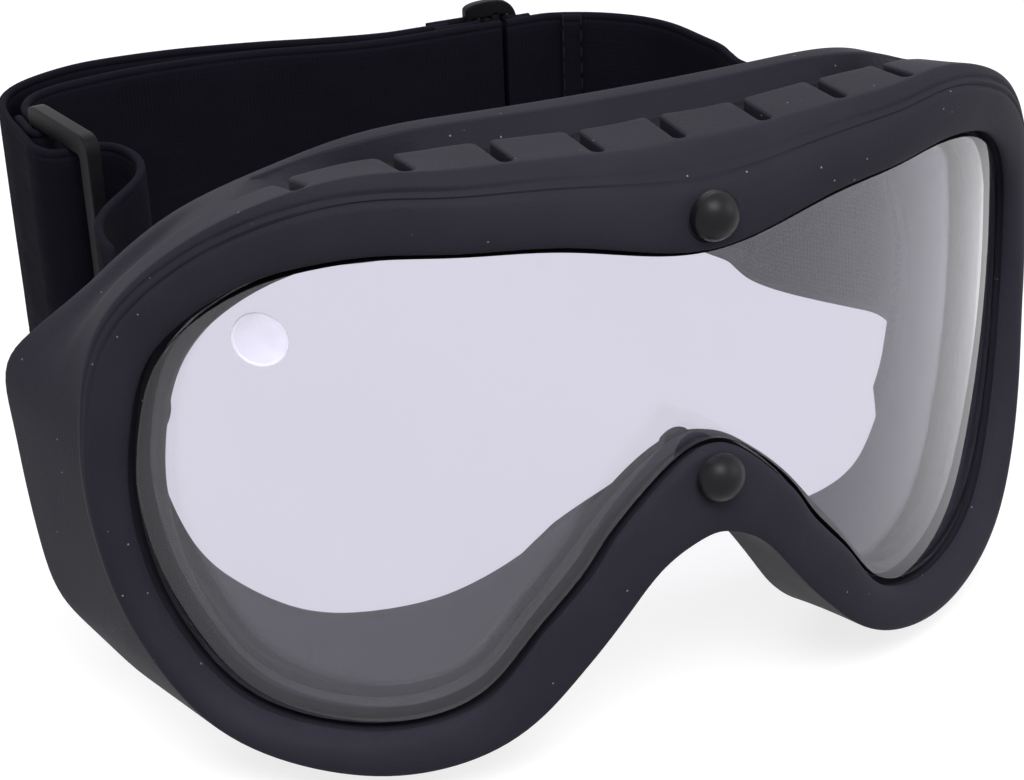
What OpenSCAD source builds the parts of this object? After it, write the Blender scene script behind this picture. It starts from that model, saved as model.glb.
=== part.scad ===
// Ballistic goggles: a moulded rubber frame with a double lens held by two
// studs, roof vents, a face cushion, and a wide elastic strap that is joined
// by two slides. X is across the face, Y runs from the lens to the head and
// Z is up. The origin is the middle of the lens opening at the rim's front.

/* [Lens opening] */
// Width of the opening in the rim
opening_w = 156; // [150:1:162]
// Height of the opening in the rim
opening_h = 77; // [73:1:81]
// Radius that the rim and the lenses are curved to, seen from above
curve_r = 104.5; // [101:0.5:115]

/* [Frame] */
// Depth of the frame over the forehead
frame_depth = 29.5; // [28:0.5:32]
// Thickness of the outer walls
wall_t = 3.2; // [2.6:0.1:3.8]
// Thickness of the flange that faces the wearer
flange_t = 2.5; // [2:0.1:3]
// How far the wings reach behind the flange
wing_reach = 7; // [6.8:0.1:8]
// How deep the lenses sit in the rim's groove
groove_depth = 3.7; // [3.2:0.1:4.2]
// How far the outer lens lies behind the rim's front edge
lens_recess = 2.4; // [2:0.1:2.8]
// Thickness of the lip behind the inner lens
back_lip_t = 2.3; // [1.8:0.1:2.8]

/* [Lenses] */
// Thickness of the outer lens
outer_lens_t = 2; // [1.6:0.1:2.4]
// Thickness of the inner lens
inner_lens_t = 1.2; // [1:0.1:1.5]
// Air gap between the lenses, which the gasket fills
lens_gap = 3; // [2.5:0.1:3.4]
// How far the gasket shows inside the opening
gasket_show = 3.6; // [2.5:0.1:5]
// Diameter of the breather disc
breather_d = 8.4; // [7:0.1:10]

/* [Roof vents] */
// Distance from one vent slot to the next
vent_pitch = 13.5; // [12.5:0.5:15]
// Width of a vent slot
slot_w = 2.4; // [1.6:0.1:3]
// Depth of the vent slots below the roof
slot_depth = 5; // [3.5:0.5:5.5]
// Length of the blocks between the slots, front to back
block_len = 9.5; // [8:0.5:10.5]
// Depth of the trough below the middle of the roof
trough_depth = 6.2; // [5.5:0.1:6.8]
// Thickness of the wall behind the trough
rear_wall_t = 4.5; // [3.5:0.1:5.5]
// Width of the air holes in the trough's floor
air_hole_w = 8; // [5:0.5:10]

/* [Foam] */
// Thickness of the face cushion
cushion_t = 5; // [4:0.5:5.5]
// Thickness of the filter foam in the vents
filter_t = 2.4; // [1.8:0.1:3]

/* [Studs] */
// Diameter of a stud's head
head_d = 8.7; // [8:0.1:9.4]
// Height of a stud's head
head_h = 3.5; // [2.8:0.1:4]
// Diameter of a stud's shank
shank_d = 3.2; // [2.6:0.1:3.6]
// Distance from the rim's edge to a stud's centre
stud_inset = 5.5; // [5.4:0.1:6]
// Diameter of the cap that closes a stud behind the lenses
cap_d = 6; // [5.4:0.1:6.4]
// Thickness of that cap
cap_t = 1.6; // [1.2:0.1:2]

/* [Strap] */
// Width of the elastic strap
strap_w = 45; // [40:1:50]
// Thickness of the elastic strap
strap_t = 1.5; // [1.2:0.1:1.7]
// Diameter of the bars in the wings that hold the strap's ends
anchor_d = 3; // [2.6:0.1:3.2]
// Length of those bars between their lugs
anchor_w = 38; // [36:0.5:39]

/* [Slides] */
// Length of the side slide, front to back
side_slide_l = 24; // [22:0.5:26]
// Thickness of the side slide
side_slide_t = 2.6; // [2.2:0.1:3]
// Width of the side slide's bars
side_bar_w = 3.6; // [3:0.1:4]
// Width of the back slide
back_slide_l = 13; // [12.8:0.2:16]
// Thickness of the back slide
back_slide_t = 2; // [1.6:0.1:2.2]
// Width of the back slide's bars
back_bar_w = 1.9; // [1.7:0.1:2]
// How far the slides stand above and below the strap
slide_over = 4; // [3.8:0.1:4.6]

/* [Hidden] */

rubber = [0.16, 0.16, 0.18];
clear = [0.80, 0.82, 0.92, 0.35];
black = [0.08, 0.08, 0.09];
fabric = [0.11, 0.11, 0.13];
foam = [0.24, 0.24, 0.26];

kx = opening_w / 156; // the outlines below are drawn for a 156 by 77 opening
kz = opening_h / 77;
kd = frame_depth / 29.5;
fit = 0.15;           // clearance between pieces that seat on each other
soft_fit = 0.3;       // clearance round soft pieces
last = 15;            // outlines run from 0, top middle, to 15, nose middle
per_point = 4;        // sections from one outline point to the next

// Outline of the lens opening, right half: place, X, Z
opening = [[0, 0, 30.5], [1, 21, 34.5], [2, 36, 35], [3, 49.5, 35],
  [4, 63, 30.5], [5, 73.5, 19.5], [6, 77.3, 5], [7, 78, -9.5],
  [8, 75, -24.5], [9, 66.5, -38], [10, 50.5, -42], [11, 36, -38],
  [12, 27, -27], [13, 19.5, -18.5], [14, 13.5, -10], [15, 0, 0.5]];
// Front edge of the rim: place, distance outwards, distance backwards
rim = [[0, 14.3, 8], [1, 11.5, 5.5], [2, 11.3, 3], [3, 11.2, 1.4],
  [4, 10.3, -0.8], [5, 8.6, -1.7], [6, 7.5, -2.2], [7, 5.8, -2.8],
  [8, 4.5, -3.8], [9, 4.5, -3.8], [10, 6, -3], [11, 7.2, -1.8],
  [12, 9, -0.8], [13, 8.5, -1], [14, 9.3, -1.2], [15, 13.9, -2]];
// Rear edge of the frame, from the opening's edge: place, X, Y, Z
rear = [[0, 0, 29.5, 15.8], [1, 0, 27.5, 12], [2, 2, 25, 11],
  [3, 2.5, 24.5, 7], [4, 1.5, 23, 3.7], [5, 2.5, 20, 4],
  [5.5, 6.2, 21.8, 4.5], [6, 10.6, 24.4, 5], [6.5, 9, 24, 1.5],
  [7, 7, 23.4, -2], [7.5, 6.8, 24.6, -4.8], [8, 7, 26, -8.5],
  [8.5, 7.1, 22.7, -6.5], [9, 8.5, 20, -5.5], [10, 5.5, 20, -10],
  [11, 1, 20.5, -13.5], [12, -1, 20.5, -17.5], [13, -1.2, 20, -15],
  [14, -3.3, 20, -12.5], [15, 0, 21, -16.5]];
// Inner edge of the face flange, from the opening's edge: place, X, Y, Z
face = [[0, 0, 30, 0.5], [1, -1, 28.5, -2], [2, -2, 26, -2.5],
  [3, -3.5, 25.5, -6], [4, -6, 25, -10], [5, -11.3, 19.5, -6.6],
  [6, -11.2, 17, -3.8], [7, -11, 17, 1.4], [8, -11, 17.6, 1.6],
  [9, -8, 21.3, 8], [10, -2.6, 25.4, 8.2], [11, -3, 26, 5.3],
  [12, -4.4, 24.5, -0.5], [13, -4.4, 23.2, -3], [14, -6.2, 21, -5.4],
  [15, 0, 18, -10.5]];
// Share of the wing's reach, and of the hollow behind the rim: place, share
wing_share = [[0, 0.07], [4, 0.07], [5, 0.17], [6, 1], [7, 1.08], [8, 1],
  [9, 0.1], [15, 0.07]];
hollow_share = [[0, 1], [11.5, 1], [12.8, 0.15], [13.5, 0], [15, 0]];
// Thickness of roof above the eye space, less the trough: place, thickness
roof = [[0, 2.3], [1, 2.1], [2, 1.8], [3, 1], [4, 0], [15, 0]];

// A smooth curve through the rows of a table; the first column is the place.
// The second column changes sign across the middle where odd is true.
function row_at(t, u, i = 0) =
  i >= len(t) - 2 || u < t[i + 1][0] ? i : row_at(t, u, i + 1);
function mirrored(row, twice, odd) = [for (c = [0:len(row) - 1])
  c == 0 ? twice - row[0] : c == 1 && odd ? -row[1] : row[c]];
function slope(t, i, odd) =
  let (n = len(t) - 1)
  let (a = i > 0 ? t[i - 1] : mirrored(t[1], 2 * t[0][0], odd))
  let (b = i < n ? t[i + 1] : mirrored(t[n - 1], 2 * t[n][0], odd))
  [for (c = [1:len(t[0]) - 1]) (b[c] - a[c]) / (b[0] - a[0])];
function values(row) = [for (c = [1:len(row) - 1]) row[c]];
function curve(t, u, odd = false) =
  let (i = row_at(t, u))
  let (h = t[i + 1][0] - t[i][0])
  let (q = (u - t[i][0]) / h)
  values(t[i]) * (2 * q * q * q - 3 * q * q + 1)
  + slope(t, i, odd) * h * (q * q * q - 2 * q * q + q)
  + values(t[i + 1]) * (3 * q * q - 2 * q * q * q)
  + slope(t, i + 1, odd) * h * (q * q * q - q * q);
// A straight run between the rows of a table of one value
function ramp(t, u) =
  let (i = row_at(t, u))
  let (q = (u - t[i][0]) / (t[i + 1][0] - t[i][0]))
  t[i][1] * (1 - q) + t[i + 1][1] * q;
function mix(a, b, q) = a * (1 - q) + b * q;
function unit(v) = v / norm(v);

// The curved front: how far back it lies at a distance from the middle
function front_y(x) = curve_r - sqrt(curve_r * curve_r - x * x);
function edge(u) =
  let (p = curve(opening, u, true))
  [p[0] * kx, front_y(p[0] * kx), p[1] * kz];
function backwards(u) =
  let (p = edge(u))
  [-p[0], curve_r - p[1], 0] / curve_r;
// Square to the opening's edge, but turned so that it never crosses the
// middle of the nose within the rim's width
function outwards(u) =
  let (a = u < 0.01 ? mirror_x(edge(0.05)) : edge(u - 0.05))
  let (b = u > last - 0.01 ? mirror_x(edge(last - 0.05)) : edge(u + 0.05))
  let (v = unit(cross(b - a, backwards(u))))
  u < last - 2 ? v : unit([max(v[0], -edge(u)[0] / 19), v[1], v[2]]);
function mirror_x(p) = [-p[0], p[1], p[2]];
// A point at a distance outwards and backwards from the opening's edge
function at(u, out, back) =
  edge(u) + outwards(u) * out + backwards(u) * back;
function rim_at(u) =
  let (r = curve(rim, u))
  at(u, r[0], r[1]);
function deep(v) = [v[0], v[1] * kd, v[2]];
function rear_at(u) = edge(u) + deep(curve(rear, u, true));
function face_at(u) = edge(u) + deep(curve(face, u, true));
function inwards(u) =
  let (v = face_at(u) - rear_at(u))
  unit([v[0], 0, v[2]]);
function wing_at(u) = max(0.3, wing_reach * ramp(wing_share, u));
function flange_root(u) =
  rear_at(u) + inwards(u) * wall_t + [0, -wing_at(u), 0];

// Depths through the lens pack, backwards from the rim's front
outer_front = lens_recess + fit;
gasket_front = outer_front + outer_lens_t;
inner_front = gasket_front + lens_gap;
pack_back = inner_front + inner_lens_t + fit;
lip_back = pack_back + back_lip_t;
back_lip_in = 1;      // how far the back lip's edge stands outside the rim's

// Front face of the rim, from the lip's edge to the front edge, as a curve
function face_curve(u, q) =
  let (r = curve(rim, u))
  let (f = min(0, r[1]) * 0.8)
  let (a = [0, lens_recess - 0.8])
  let (b = [0, f - 1.2])
  let (c = [0.78 * r[0], f - 1.6])
  let (p = 1 - q)
  let (g = a * p * p * p + b * 3 * p * p * q + c * 3 * p * q * q
    + r * q * q * q)
  at(u, g[0], g[1]);
// The two fine grooves that run under the roof's front edge
function groove_cut(u) = 0.55 * max(0, min(1, (6.5 - u) / 2));
function roof_wall(u) =
  wall_t + trough_depth * max(0, min(1, (4.4 - u) / 1.1)) + ramp(roof, u);
function eye_wall(u) =
  let (lip = at(u, groove_depth - 0.5, lip_back))
  let (edge_in = face_at(u) + [0, -flange_t, 0])
  let (near = mix(edge_in, lip, 0.25))
  let (wide = rear_at(u) + inwards(u) * roof_wall(u)
    + [0, -wing_at(u) - flange_t, 0])
  mix(near, wide, ramp(hollow_share, u));

// One section through the rim, walls, flange and lens groove
function section(u) =
  let (r = curve(rim, u))
  let (w = r[0])
  let (cut = groove_cut(u))
  let (front = rim_at(u))
  let (back = rear_at(u))
  let (side = back - front)
  let (root = flange_root(u))
  let (inner = face_at(u))
  let (ceiling = eye_wall(u))
  let (lip = at(u, groove_depth - 0.5, lip_back))
  concat(
    [at(u, 0, lens_recess)],
    [for (q = [0, 0.14, 0.3, 0.44]) face_curve(u, q)],
    [face_curve(u, 0.56), face_curve(u, 0.62) + backwards(u) * cut,
      face_curve(u, 0.7), face_curve(u, 0.76) + backwards(u) * cut,
      face_curve(u, 0.84), face_curve(u, 0.95)],
    [front + side * 0.035 + backwards(u) * 0.2, front + side * 0.12],
    [front + side * 0.4, front + side * 0.7, front + side * 0.97,
      back + inwards(u) * 0.6],
    [back + inwards(u) * wall_t, root, inner,
      inner + [0, -flange_t, 0], ceiling, mix(ceiling, lip, 0.5), lip],
    [at(u, back_lip_in, lip_back), at(u, back_lip_in, pack_back),
      at(u, groove_depth, pack_back), at(u, groove_depth, lens_recess)]);

half_steps = last * per_point;
// Places round the whole ring: right side down, then left side up
function ring(f) = concat(
  [for (i = [0:half_steps]) f(i / per_point)],
  [for (i = [half_steps - 1:-1:1])
    [for (p = f(i / per_point)) mirror_x(p)]]);

// A skin over a row of sections, closed to a ring or with flat ends
module skin(rows, closed = false) {
  n = len(rows);
  m = len(rows[0]);
  sides = [for (i = [0:closed ? n - 1 : n - 2]) for (j = [0:m - 1])
    let (a = i * m + j, b = i * m + (j + 1) % m)
    let (c = ((i + 1) % n) * m + j, d = ((i + 1) % n) * m + (j + 1) % m)
    each [[a, b, c], [b, d, c]]];
  ends = closed ? [] : [[for (j = [m - 1:-1:0]) j],
    [for (j = [0:m - 1]) (n - 1) * m + j]];
  polyhedron(points = [for (r = rows) each r], faces = concat(sides, ends),
    convexity = 10);
}

// Roof vents
roof_top = rear_at(0)[2];
trough_z = roof_top - trough_depth;
trough_end = 3.7;     // place on the outline where the trough runs out
function trough_front(u) =
  let (p = rim_at(u))
  [p[0], p[1] + block_len];
function trough_rear(u, wall) =
  let (p = rear_at(u))
  [p[0], p[1] - wall];
filter_end = 2.7;     // place where the filter foam ends
function trough_plan(end, gap) =
  let (q = [for (i = [0:12]) end * i / 12])
  let (f = [for (u = q) trough_front(u) + [0, gap]])
  let (r = [for (u = q) trough_rear(u, rear_wall_t + gap)])
  concat([for (i = [12:-1:1]) [-f[i][0], f[i][1]]], f,
    [for (i = [12:-1:0]) r[i]], [for (i = [1:12]) [-r[i][0], r[i][1]]]);
slots_each_side = 4;
module trough_cut() {
  translate([0, 0, trough_z])
    linear_extrude(2 * trough_depth)
      polygon(trough_plan(trough_end, 0));
  for (i = [-slots_each_side:slots_each_side]) {
    x = i * vent_pitch;
    u = place_of(abs(x));
    front = rim_at(u);
    translate([x - slot_w / 2, front[1] + 1.3, front[2] - slot_depth])
      cube([slot_w, block_len, 2 * slot_depth]);
  }
  for (i = [-slots_each_side + 0.5:slots_each_side - 0.5]) {
    x = i * vent_pitch;
    u = place_of(abs(x));
    y0 = trough_front(u)[1] + 2;
    y1 = trough_rear(u, rear_wall_t)[1] - 2;
    translate([x - air_hole_w / 2, y0, trough_z - 2 * wall_t])
      cube([air_hole_w, y1 - y0, 2 * wall_t + 1]);
  }
}
// Place on the outline whose rim lies at a distance from the middle
function place_of(x, lo = 0, hi = 4, n = 20) =
  n == 0 ? lo
  : rim_at((lo + hi) / 2)[0] < x ? place_of(x, (lo + hi) / 2, hi, n - 1)
  : place_of(x, lo, (lo + hi) / 2, n - 1);

// Studs
stud_top_z = edge(0)[2] + stud_inset;
stud_bottom_z = edge(last)[2] - stud_inset;
stud_top_y = -0.8;    // where the domes of the heads begin
stud_bottom_y = -2.9;
head_seat = 1.2;      // length of the heads' straight part
shank_fit = 0.05;
module along_y(r, y0, y1, z) {
  translate([0, y0, z])
    rotate([-90, 0, 0])
      cylinder(r = r, h = y1 - y0, $fn = 64);
}
module stud_cut(y, z) {
  along_y(head_d / 2 + 0.5, -12, y + head_seat, z);
  along_y(shank_d / 2 + shank_fit, y, lip_back + 6, z);
  along_y(cap_d / 2 + fit, lip_back + fit, lip_back + 9, z);
}

// Strap anchors in the wings
wing_top = rear_at(6);
wing_foot = rear_at(8);
wing_mid = (wing_top + wing_foot) / 2;
wing_lean = atan((wing_top[0] - wing_foot[0]) / (wing_top[2] - wing_foot[2]));
lug_w = 2.4;
anchor_in = wall_t + anchor_d / 2 + strap_t + 0.6;
anchor = [wing_mid[0] - anchor_in, wing_mid[1] - 2.2, wing_mid[2]];
module on_wing() {
  translate(anchor)
    rotate([0, wing_lean, 0])
      children();
}
module lugs() {
  on_wing()
    for (s = [-1, 1])
      translate([-anchor_d / 2 - 1, -anchor_d / 2 - 0.7,
          s * (anchor_w / 2 + lug_w / 2) - lug_w / 2])
        cube([anchor_in + anchor_d / 2 - wall_t / 2 + 1, anchor_d + 1.4,
          lug_w]);
}
module anchor_bar() {
  on_wing()
    cylinder(d = anchor_d, h = anchor_w + 2 * lug_w, center = true, $fn = 48);
}
module both_sides() {
  children();
  mirror([1, 0, 0])
    children();
}

module frame_shell() {
  color(rubber)
    difference() {
      union() {
        skin(ring(function (u) section(u)), closed = true);
        both_sides()
          lugs();
      }
      trough_cut();
      stud_cut(stud_top_y, stud_top_z);
      stud_cut(stud_bottom_y, stud_bottom_z);
      both_sides()
        on_wing()
          cylinder(d = anchor_d + 2 * shank_fit,
            h = anchor_w + 2 * lug_w + 0.2, center = true, $fn = 48);
    }
}

// The lens outline, a distance outside the opening's edge at a depth
function lens_plan(out, back) =
  let (h = [for (i = [0:half_steps])
    let (p = at(i / per_point, out, back)) [p[0], p[2]]])
  concat(h, [for (i = [half_steps - 1:-1:1]) [-h[i][0], h[i][1]]]);
module curved_sheet(front, thick) {
  translate([0, curve_r, -opening_h])
    difference() {
      cylinder(r = curve_r - front, h = 2 * opening_h, $fn = 180);
      translate([0, 0, -1])
        cylinder(r = curve_r - front - thick, h = 2 * opening_h + 2,
          $fn = 180);
    }
}
module lens(front, thick, out, inner_out = undef) {
  intersection() {
    curved_sheet(front, thick);
    rotate([90, 0, 0])
      translate([0, 0, -curve_r])
        linear_extrude(curve_r + 20)
          difference() {
            intersection() {
              polygon(lens_plan(out, front));
              polygon(lens_plan(out, front + thick));
            }
            if (inner_out != undef)
              polygon(lens_plan(inner_out, front + thick));
          }
  }
}
module lens_outer() {
  color(clear)
    lens(outer_front, outer_lens_t, groove_depth - fit);
}
module lens_gasket() {
  color(foam)
    lens(gasket_front + fit / 2, lens_gap - fit, groove_depth - 2 * fit,
      -gasket_show);
}
module lens_inner() {
  color(clear)
    lens(inner_front, inner_lens_t, groove_depth - fit);
}
// The breather lies on the inner lens, up and to the wearer's right
breather_x = -0.745 * opening_w / 2;
breather_z = 0.26 * opening_h;
breather_t = 0.6;
module breather_disc() {
  lean = asin(breather_x / (curve_r - inner_front));
  color("white")
    translate([0, curve_r, breather_z])
      rotate([0, 0, lean])
        translate([0, -(curve_r - inner_front) - 0.1, 0])
          rotate([90, 0, 0])
            cylinder(d = breather_d, h = breather_t, $fn = 64);
}

module stud(y, z) {
  dome_h = head_h - head_seat;
  ball_r = (head_d * head_d / 4 + dome_h * dome_h) / (2 * dome_h);
  color(black) {
    along_y(head_d / 2, y, y + head_seat, z);
    intersection() {
      along_y(head_d / 2, y - dome_h, y, z);
      translate([0, y + ball_r - dome_h, z])
        sphere(r = ball_r, $fn = 96);
    }
    along_y(shank_d / 2, y + head_seat - 0.1, lip_back + fit + cap_t, z);
  }
}
module stud_cap(z) {
  color(black)
    difference() {
      along_y(cap_d / 2, lip_back + fit, lip_back + fit + cap_t, z);
      along_y(shank_d / 2 + shank_fit, lip_back - 1, lip_back + cap_t + 2, z);
    }
}
module stud_top() { stud(stud_top_y, stud_top_z); }
module stud_bottom() { stud(stud_bottom_y, stud_bottom_z); }
module stud_cap_top() { stud_cap(stud_top_z); }
module stud_cap_bottom() { stud_cap(stud_bottom_z); }

// Filter foam
module roof_filter() {
  color(foam)
    translate([0, 0, trough_z + fit])
      linear_extrude(filter_t)
        polygon(trough_plan(filter_end, soft_fit));
}
// Face cushion: a crowned pad on the flange with drawn-in sides
cushion_out = [[0, 0.05], [4.4, 0.05], [5.5, 0.62], [8.5, 0.62], [9.2, 0.05],
  [15, 0.05]];
seat = 0.4;           // glue line under the cushion
function cushion_row(u) =
  let (a = flange_root(u))
  let (b = face_at(u))
  let (q0 = ramp(cushion_out, u))
  let (p = mix(a, b, q0) + [0, seat, 0])
  let (s = mix(a, b, 0.95) + [0, seat, 0])
  let (h = min(cushion_t, 0.9 * norm(s - p)))
  [p, mix(p, s, 0.04) + [0, 0.35 * h, 0], mix(p, s, -0.01) + [0, 0.6 * h, 0],
    mix(p, s, 0.14) + [0, 0.88 * h, 0], mix(p, s, 0.5) + [0, h, 0],
    mix(p, s, 0.86) + [0, 0.88 * h, 0], mix(p, s, 1.01) + [0, 0.6 * h, 0],
    mix(p, s, 0.96) + [0, 0.35 * h, 0], s];
module face_cushion() {
  color(foam)
    skin(ring(function (u) cushion_row(u)), closed = true);
}

module anchor_bar_right() { color(black) anchor_bar(); }
module anchor_bar_left() { color(black) mirror([1, 0, 0]) anchor_bar(); }

// Strap paths, seen from above. They were laid out for anchors at X 78.15 and
// Y 55.96 and follow the anchors from there: each side goes with its anchor,
// the part round the back slide stays, and the lengths between take it up.
spread = [[-200, -1], [-50, -1], [20, 0], [44, 0], [66, 1], [200, 1]];
function follow(p) = [p[0] + (anchor[0] - 78.15) * ramp(spread, p[0]),
  p[1] + anchor[1] - 55.96];
function spline(a, b, c, d, q) =
  0.5 * (2 * b + (c - a) * q + (2 * a - 5 * b + 4 * c - d) * q * q
    + (3 * b - a - 3 * c + d) * q * q * q);
function smooth(p, n = 4) =
  let (m = len(p) - 1)
  concat([for (i = [0:m - 1]) for (k = [0:n - 1])
    spline(p[max(i - 1, 0)], p[i], p[i + 1], p[min(i + 2, m)], k / n)],
    [p[m]]);
function along(p, i) =
  unit(p[min(i + 1, len(p) - 1)] - p[max(i - 1, 0)]);
function turned(v) = [-v[1], v[0]];
function band(p, t) = concat(
  [for (i = [0:len(p) - 1]) p[i] + turned(along(p, i)) * t / 2],
  [for (i = [len(p) - 1:-1:0]) p[i] - turned(along(p, i)) * t / 2]);
module layer(points, n = 4) {
  color(fabric)
    linear_extrude(strap_w, center = true)
      polygon(band(smooth([for (p = points) follow(p)], n), strap_t));
}
gap = soft_fit + strap_t; // middle to middle of layers beside each other

// The side slide: a frame with a flat front bar and a round rear bar
side_at = [-62, 115];
side_turn = 9;
side_bar_d = 2.2;
side_bar_y = side_slide_l / 2 - 1.8;
side_bar_x = 0.2;
side_leg = side_bar_d / 2 + fit + strap_t / 2;
side_bar = [side_at[0] - side_bar_y * sin(side_turn) + side_bar_x,
  side_at[1] + side_bar_y * cos(side_turn)];
side_forward = 4;     // travel of the side slide towards the frame
side_back = 2;        // and away from it
// The back slide: a plate with a round bar, a middle bar and an end bar
back_at = [32.4, 145.9];
back_mid = back_bar_w / 2;
back_bar_x = back_slide_l / 2 - 1.75;
mid_bar_x = back_mid + fit + 2 * strap_t + 2 * soft_fit - back_bar_x;
back_leg = back_mid + fit + strap_t / 2;
back_travel = 3;      // travel of the back slide either way
weave_out = back_slide_t / 2 + soft_fit + strap_t / 2;
weave_in = soft_fit + strap_t / 2;
weave_end = 7.6;

// Middle lines of the strap's layers
outer_x = side_bar[0] - side_leg - gap;
outer_end = back_at[0] - back_bar_x - back_mid - back_travel - 0.5;
outer_path = [[-67.2, 66.5], [-67.2, 71.5], [-67, 75.8], [-65.4, 80],
  [-62.4, 84.3], [-59, 88.4], [-55.6, 93.4], [-53.6, 99.2], [-53.4, 105.2],
  [-55, 110.2], [-58.4, 112.4], [-61.8, 111.7], [-64.6, 111.9],
  [outer_x + 0.8, 114.2], [outer_x, 117.6], [outer_x, 121], [outer_x, 127],
  [outer_x, 133], [-66.2, 141], [-62.6, 148.2], [-56.6, 152.8],
  [-48, 155.7], [-39.5, 156.7], [-28, 156.1], [-15, 153.5], [-5, 150.1],
  [4, 147.4], [9, 146.3], [12.5, back_at[1]], [outer_end, back_at[1]]];
inner_y = back_at[1] - back_leg - gap;
inner_start = side_bar[1] + side_bar_d / 2 + side_back + 0.4;
inner_end = back_at[0] + 0.6;
inner_path = [[side_bar[0], inner_start], [side_bar[0], 135.4],
  [-62.4, 139.6], [-59.6, 143.8], [-53.9, 147], [-42, 149.2],
  [-30, 149.5], [-17, 148.2], [-7, 145.8], [1, 143.6], [7.5, inner_y + 0.3],
  [12, inner_y], [16, inner_y], [inner_end, inner_y]];
right_y = back_at[1] - weave_out - gap;
right_start = back_at[0] + 1.6;
right_path = [[right_start, right_y], [38.5, right_y],
  [43, right_y - 0.15], [48, 139.8], [53.6, 136], [58.6, 130],
  [61.3, 122.5], [63, 113], [65.2, 102], [67.6, 90], [70, 80],
  [71, 72.5], [71, 66.5]];

module strap_outer_layer() { layer(outer_path); }
module strap_inner_layer() { layer(inner_path); }
module strap_right() { layer(right_path); }
// The length of strap that weaves over the middle bar of the back slide
weave_path = let (b = mid_bar_x) let (w = weave_in) let (h = weave_out)
  let (c = back_slide_t / 2) let (d = 0.71 * weave_in)
  [for (p = [[b - w, -h - 0.2], [b - w, -0.6], [b - w, c], [b - d, c + d],
    [b, h], [b + back_bar_w / 2, h], [b + back_bar_w, h],
    [b + back_bar_w + d, c + d], [b + back_bar_w + w, c],
    [b + back_bar_w + w + 0.15, 0], [b + back_bar_w + w + 0.7, -1.2],
    [b + back_bar_w + w + 1.5, 0.12 - h], [b + back_bar_w + w + 2.4, -h],
    [weave_end, -h]]) back_at + p];
module strap_weave() { layer(weave_path, 3); }
// The stitched seam across the strap beside the back slide
seam_t = 1;
module strap_seam() {
  line = smooth([for (p = right_path) follow(p)]);
  off = strap_t / 2 + soft_fit + seam_t / 2;
  color(fabric)
    linear_extrude(strap_w, center = true)
      polygon(band([for (i = [9:12]) line[i] - turned(along(line, i)) * off],
        seam_t));
}

// Ends of the strap: each wraps its anchor bar and leaves it rearwards. The
// rows give X, Y, height of the middle, width and lean.
wrap_r = anchor_d / 2 + fit + strap_t / 2;
end_w = anchor_w - 2;
wrap_rows = [for (a = [110:-20:-130]) [anchor[0] + wrap_r * cos(a),
  anchor[1] + wrap_r * sin(a), anchor[2], end_w, wing_lean]];
function tail(rows) = [for (r = rows) let (p = follow(r))
  [p[0], p[1], r[2], min(r[3], strap_w), r[4]]];
left_tail = tail([[75.2, 55.5, -11, 36, 8], [73.5, 57.3, -8.6, 37.5, 6],
  [71.6, 59.5, -4.4, 41.5, 4], [70, 61.4, -1.4, 44, 1.5],
  [69.1, 64, 0, strap_w, 0], [69, 67.5, 0, strap_w, 0],
  [69, 72.5, 0, strap_w, 0]]);
right_tail = tail([[75.3, 55.6, -11, 36, 8], [74.4, 57.8, -8.6, 37.5, 6],
  [74, 60.3, -4.4, 41.5, 2.5], [73.3, 62.4, -1.4, 44, 0.8],
  [72.8, 65, 0, strap_w, 0], [72.8, 68, 0, strap_w, 0],
  [72.8, 72.5, 0, strap_w, 0]]);
function end_row(rows, i) =
  let (r = rows[i])
  let (a = rows[max(i - 1, 0)])
  let (b = rows[min(i + 1, len(rows) - 1)])
  let (n = turned(unit([b[0] - a[0], b[1] - a[1]])) * strap_t / 2)
  let (lean = [r[3] / 2 * sin(r[4]), 0, r[3] / 2 * cos(r[4])])
  let (m = [r[0], r[1], r[2]])
  let (side = [n[0], n[1], 0])
  [m - side - lean, m - side + lean, m + side + lean, m + side - lean];
module strap_end(rows) {
  all_rows = concat(wrap_rows, rows);
  color(fabric)
    skin([for (i = [0:len(all_rows) - 1]) end_row(all_rows, i)]);
}
module strap_end_right() { strap_end(right_tail); }
module strap_end_left() { mirror([1, 0, 0]) strap_end(left_tail); }

// A rounded rectangle
module rounded(w, h, r) {
  square([w - 2 * r, h], center = true);
  square([w, h - 2 * r], center = true);
  for (x = [-1, 1])
    for (y = [-1, 1])
      translate([x * (w / 2 - r), y * (h / 2 - r)])
        circle(r = r, $fn = 48);
}
slide_h = strap_w + 2 * slide_over;
window_h = strap_w + 2 * soft_fit;
// A loop of strap round a bar, with two legs that hold a layer's end. It
// lies along X with its legs towards the left.
module tab(leg, reach) {
  color(fabric)
    linear_extrude(strap_w, center = true) {
      difference() {
        circle(r = leg + strap_t / 2, $fn = 64);
        circle(r = leg - strap_t / 2, $fn = 64);
        translate([-2 * leg, -2 * leg])
          square([2 * leg, 4 * leg]);
      }
      for (s = [-1, 1])
        translate([-reach, s * leg - strap_t / 2])
          square([reach, strap_t]);
    }
}
side_corner = 3.4;
side_reach = inner_start - side_bar[1] + side_forward + 0.6;
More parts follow.
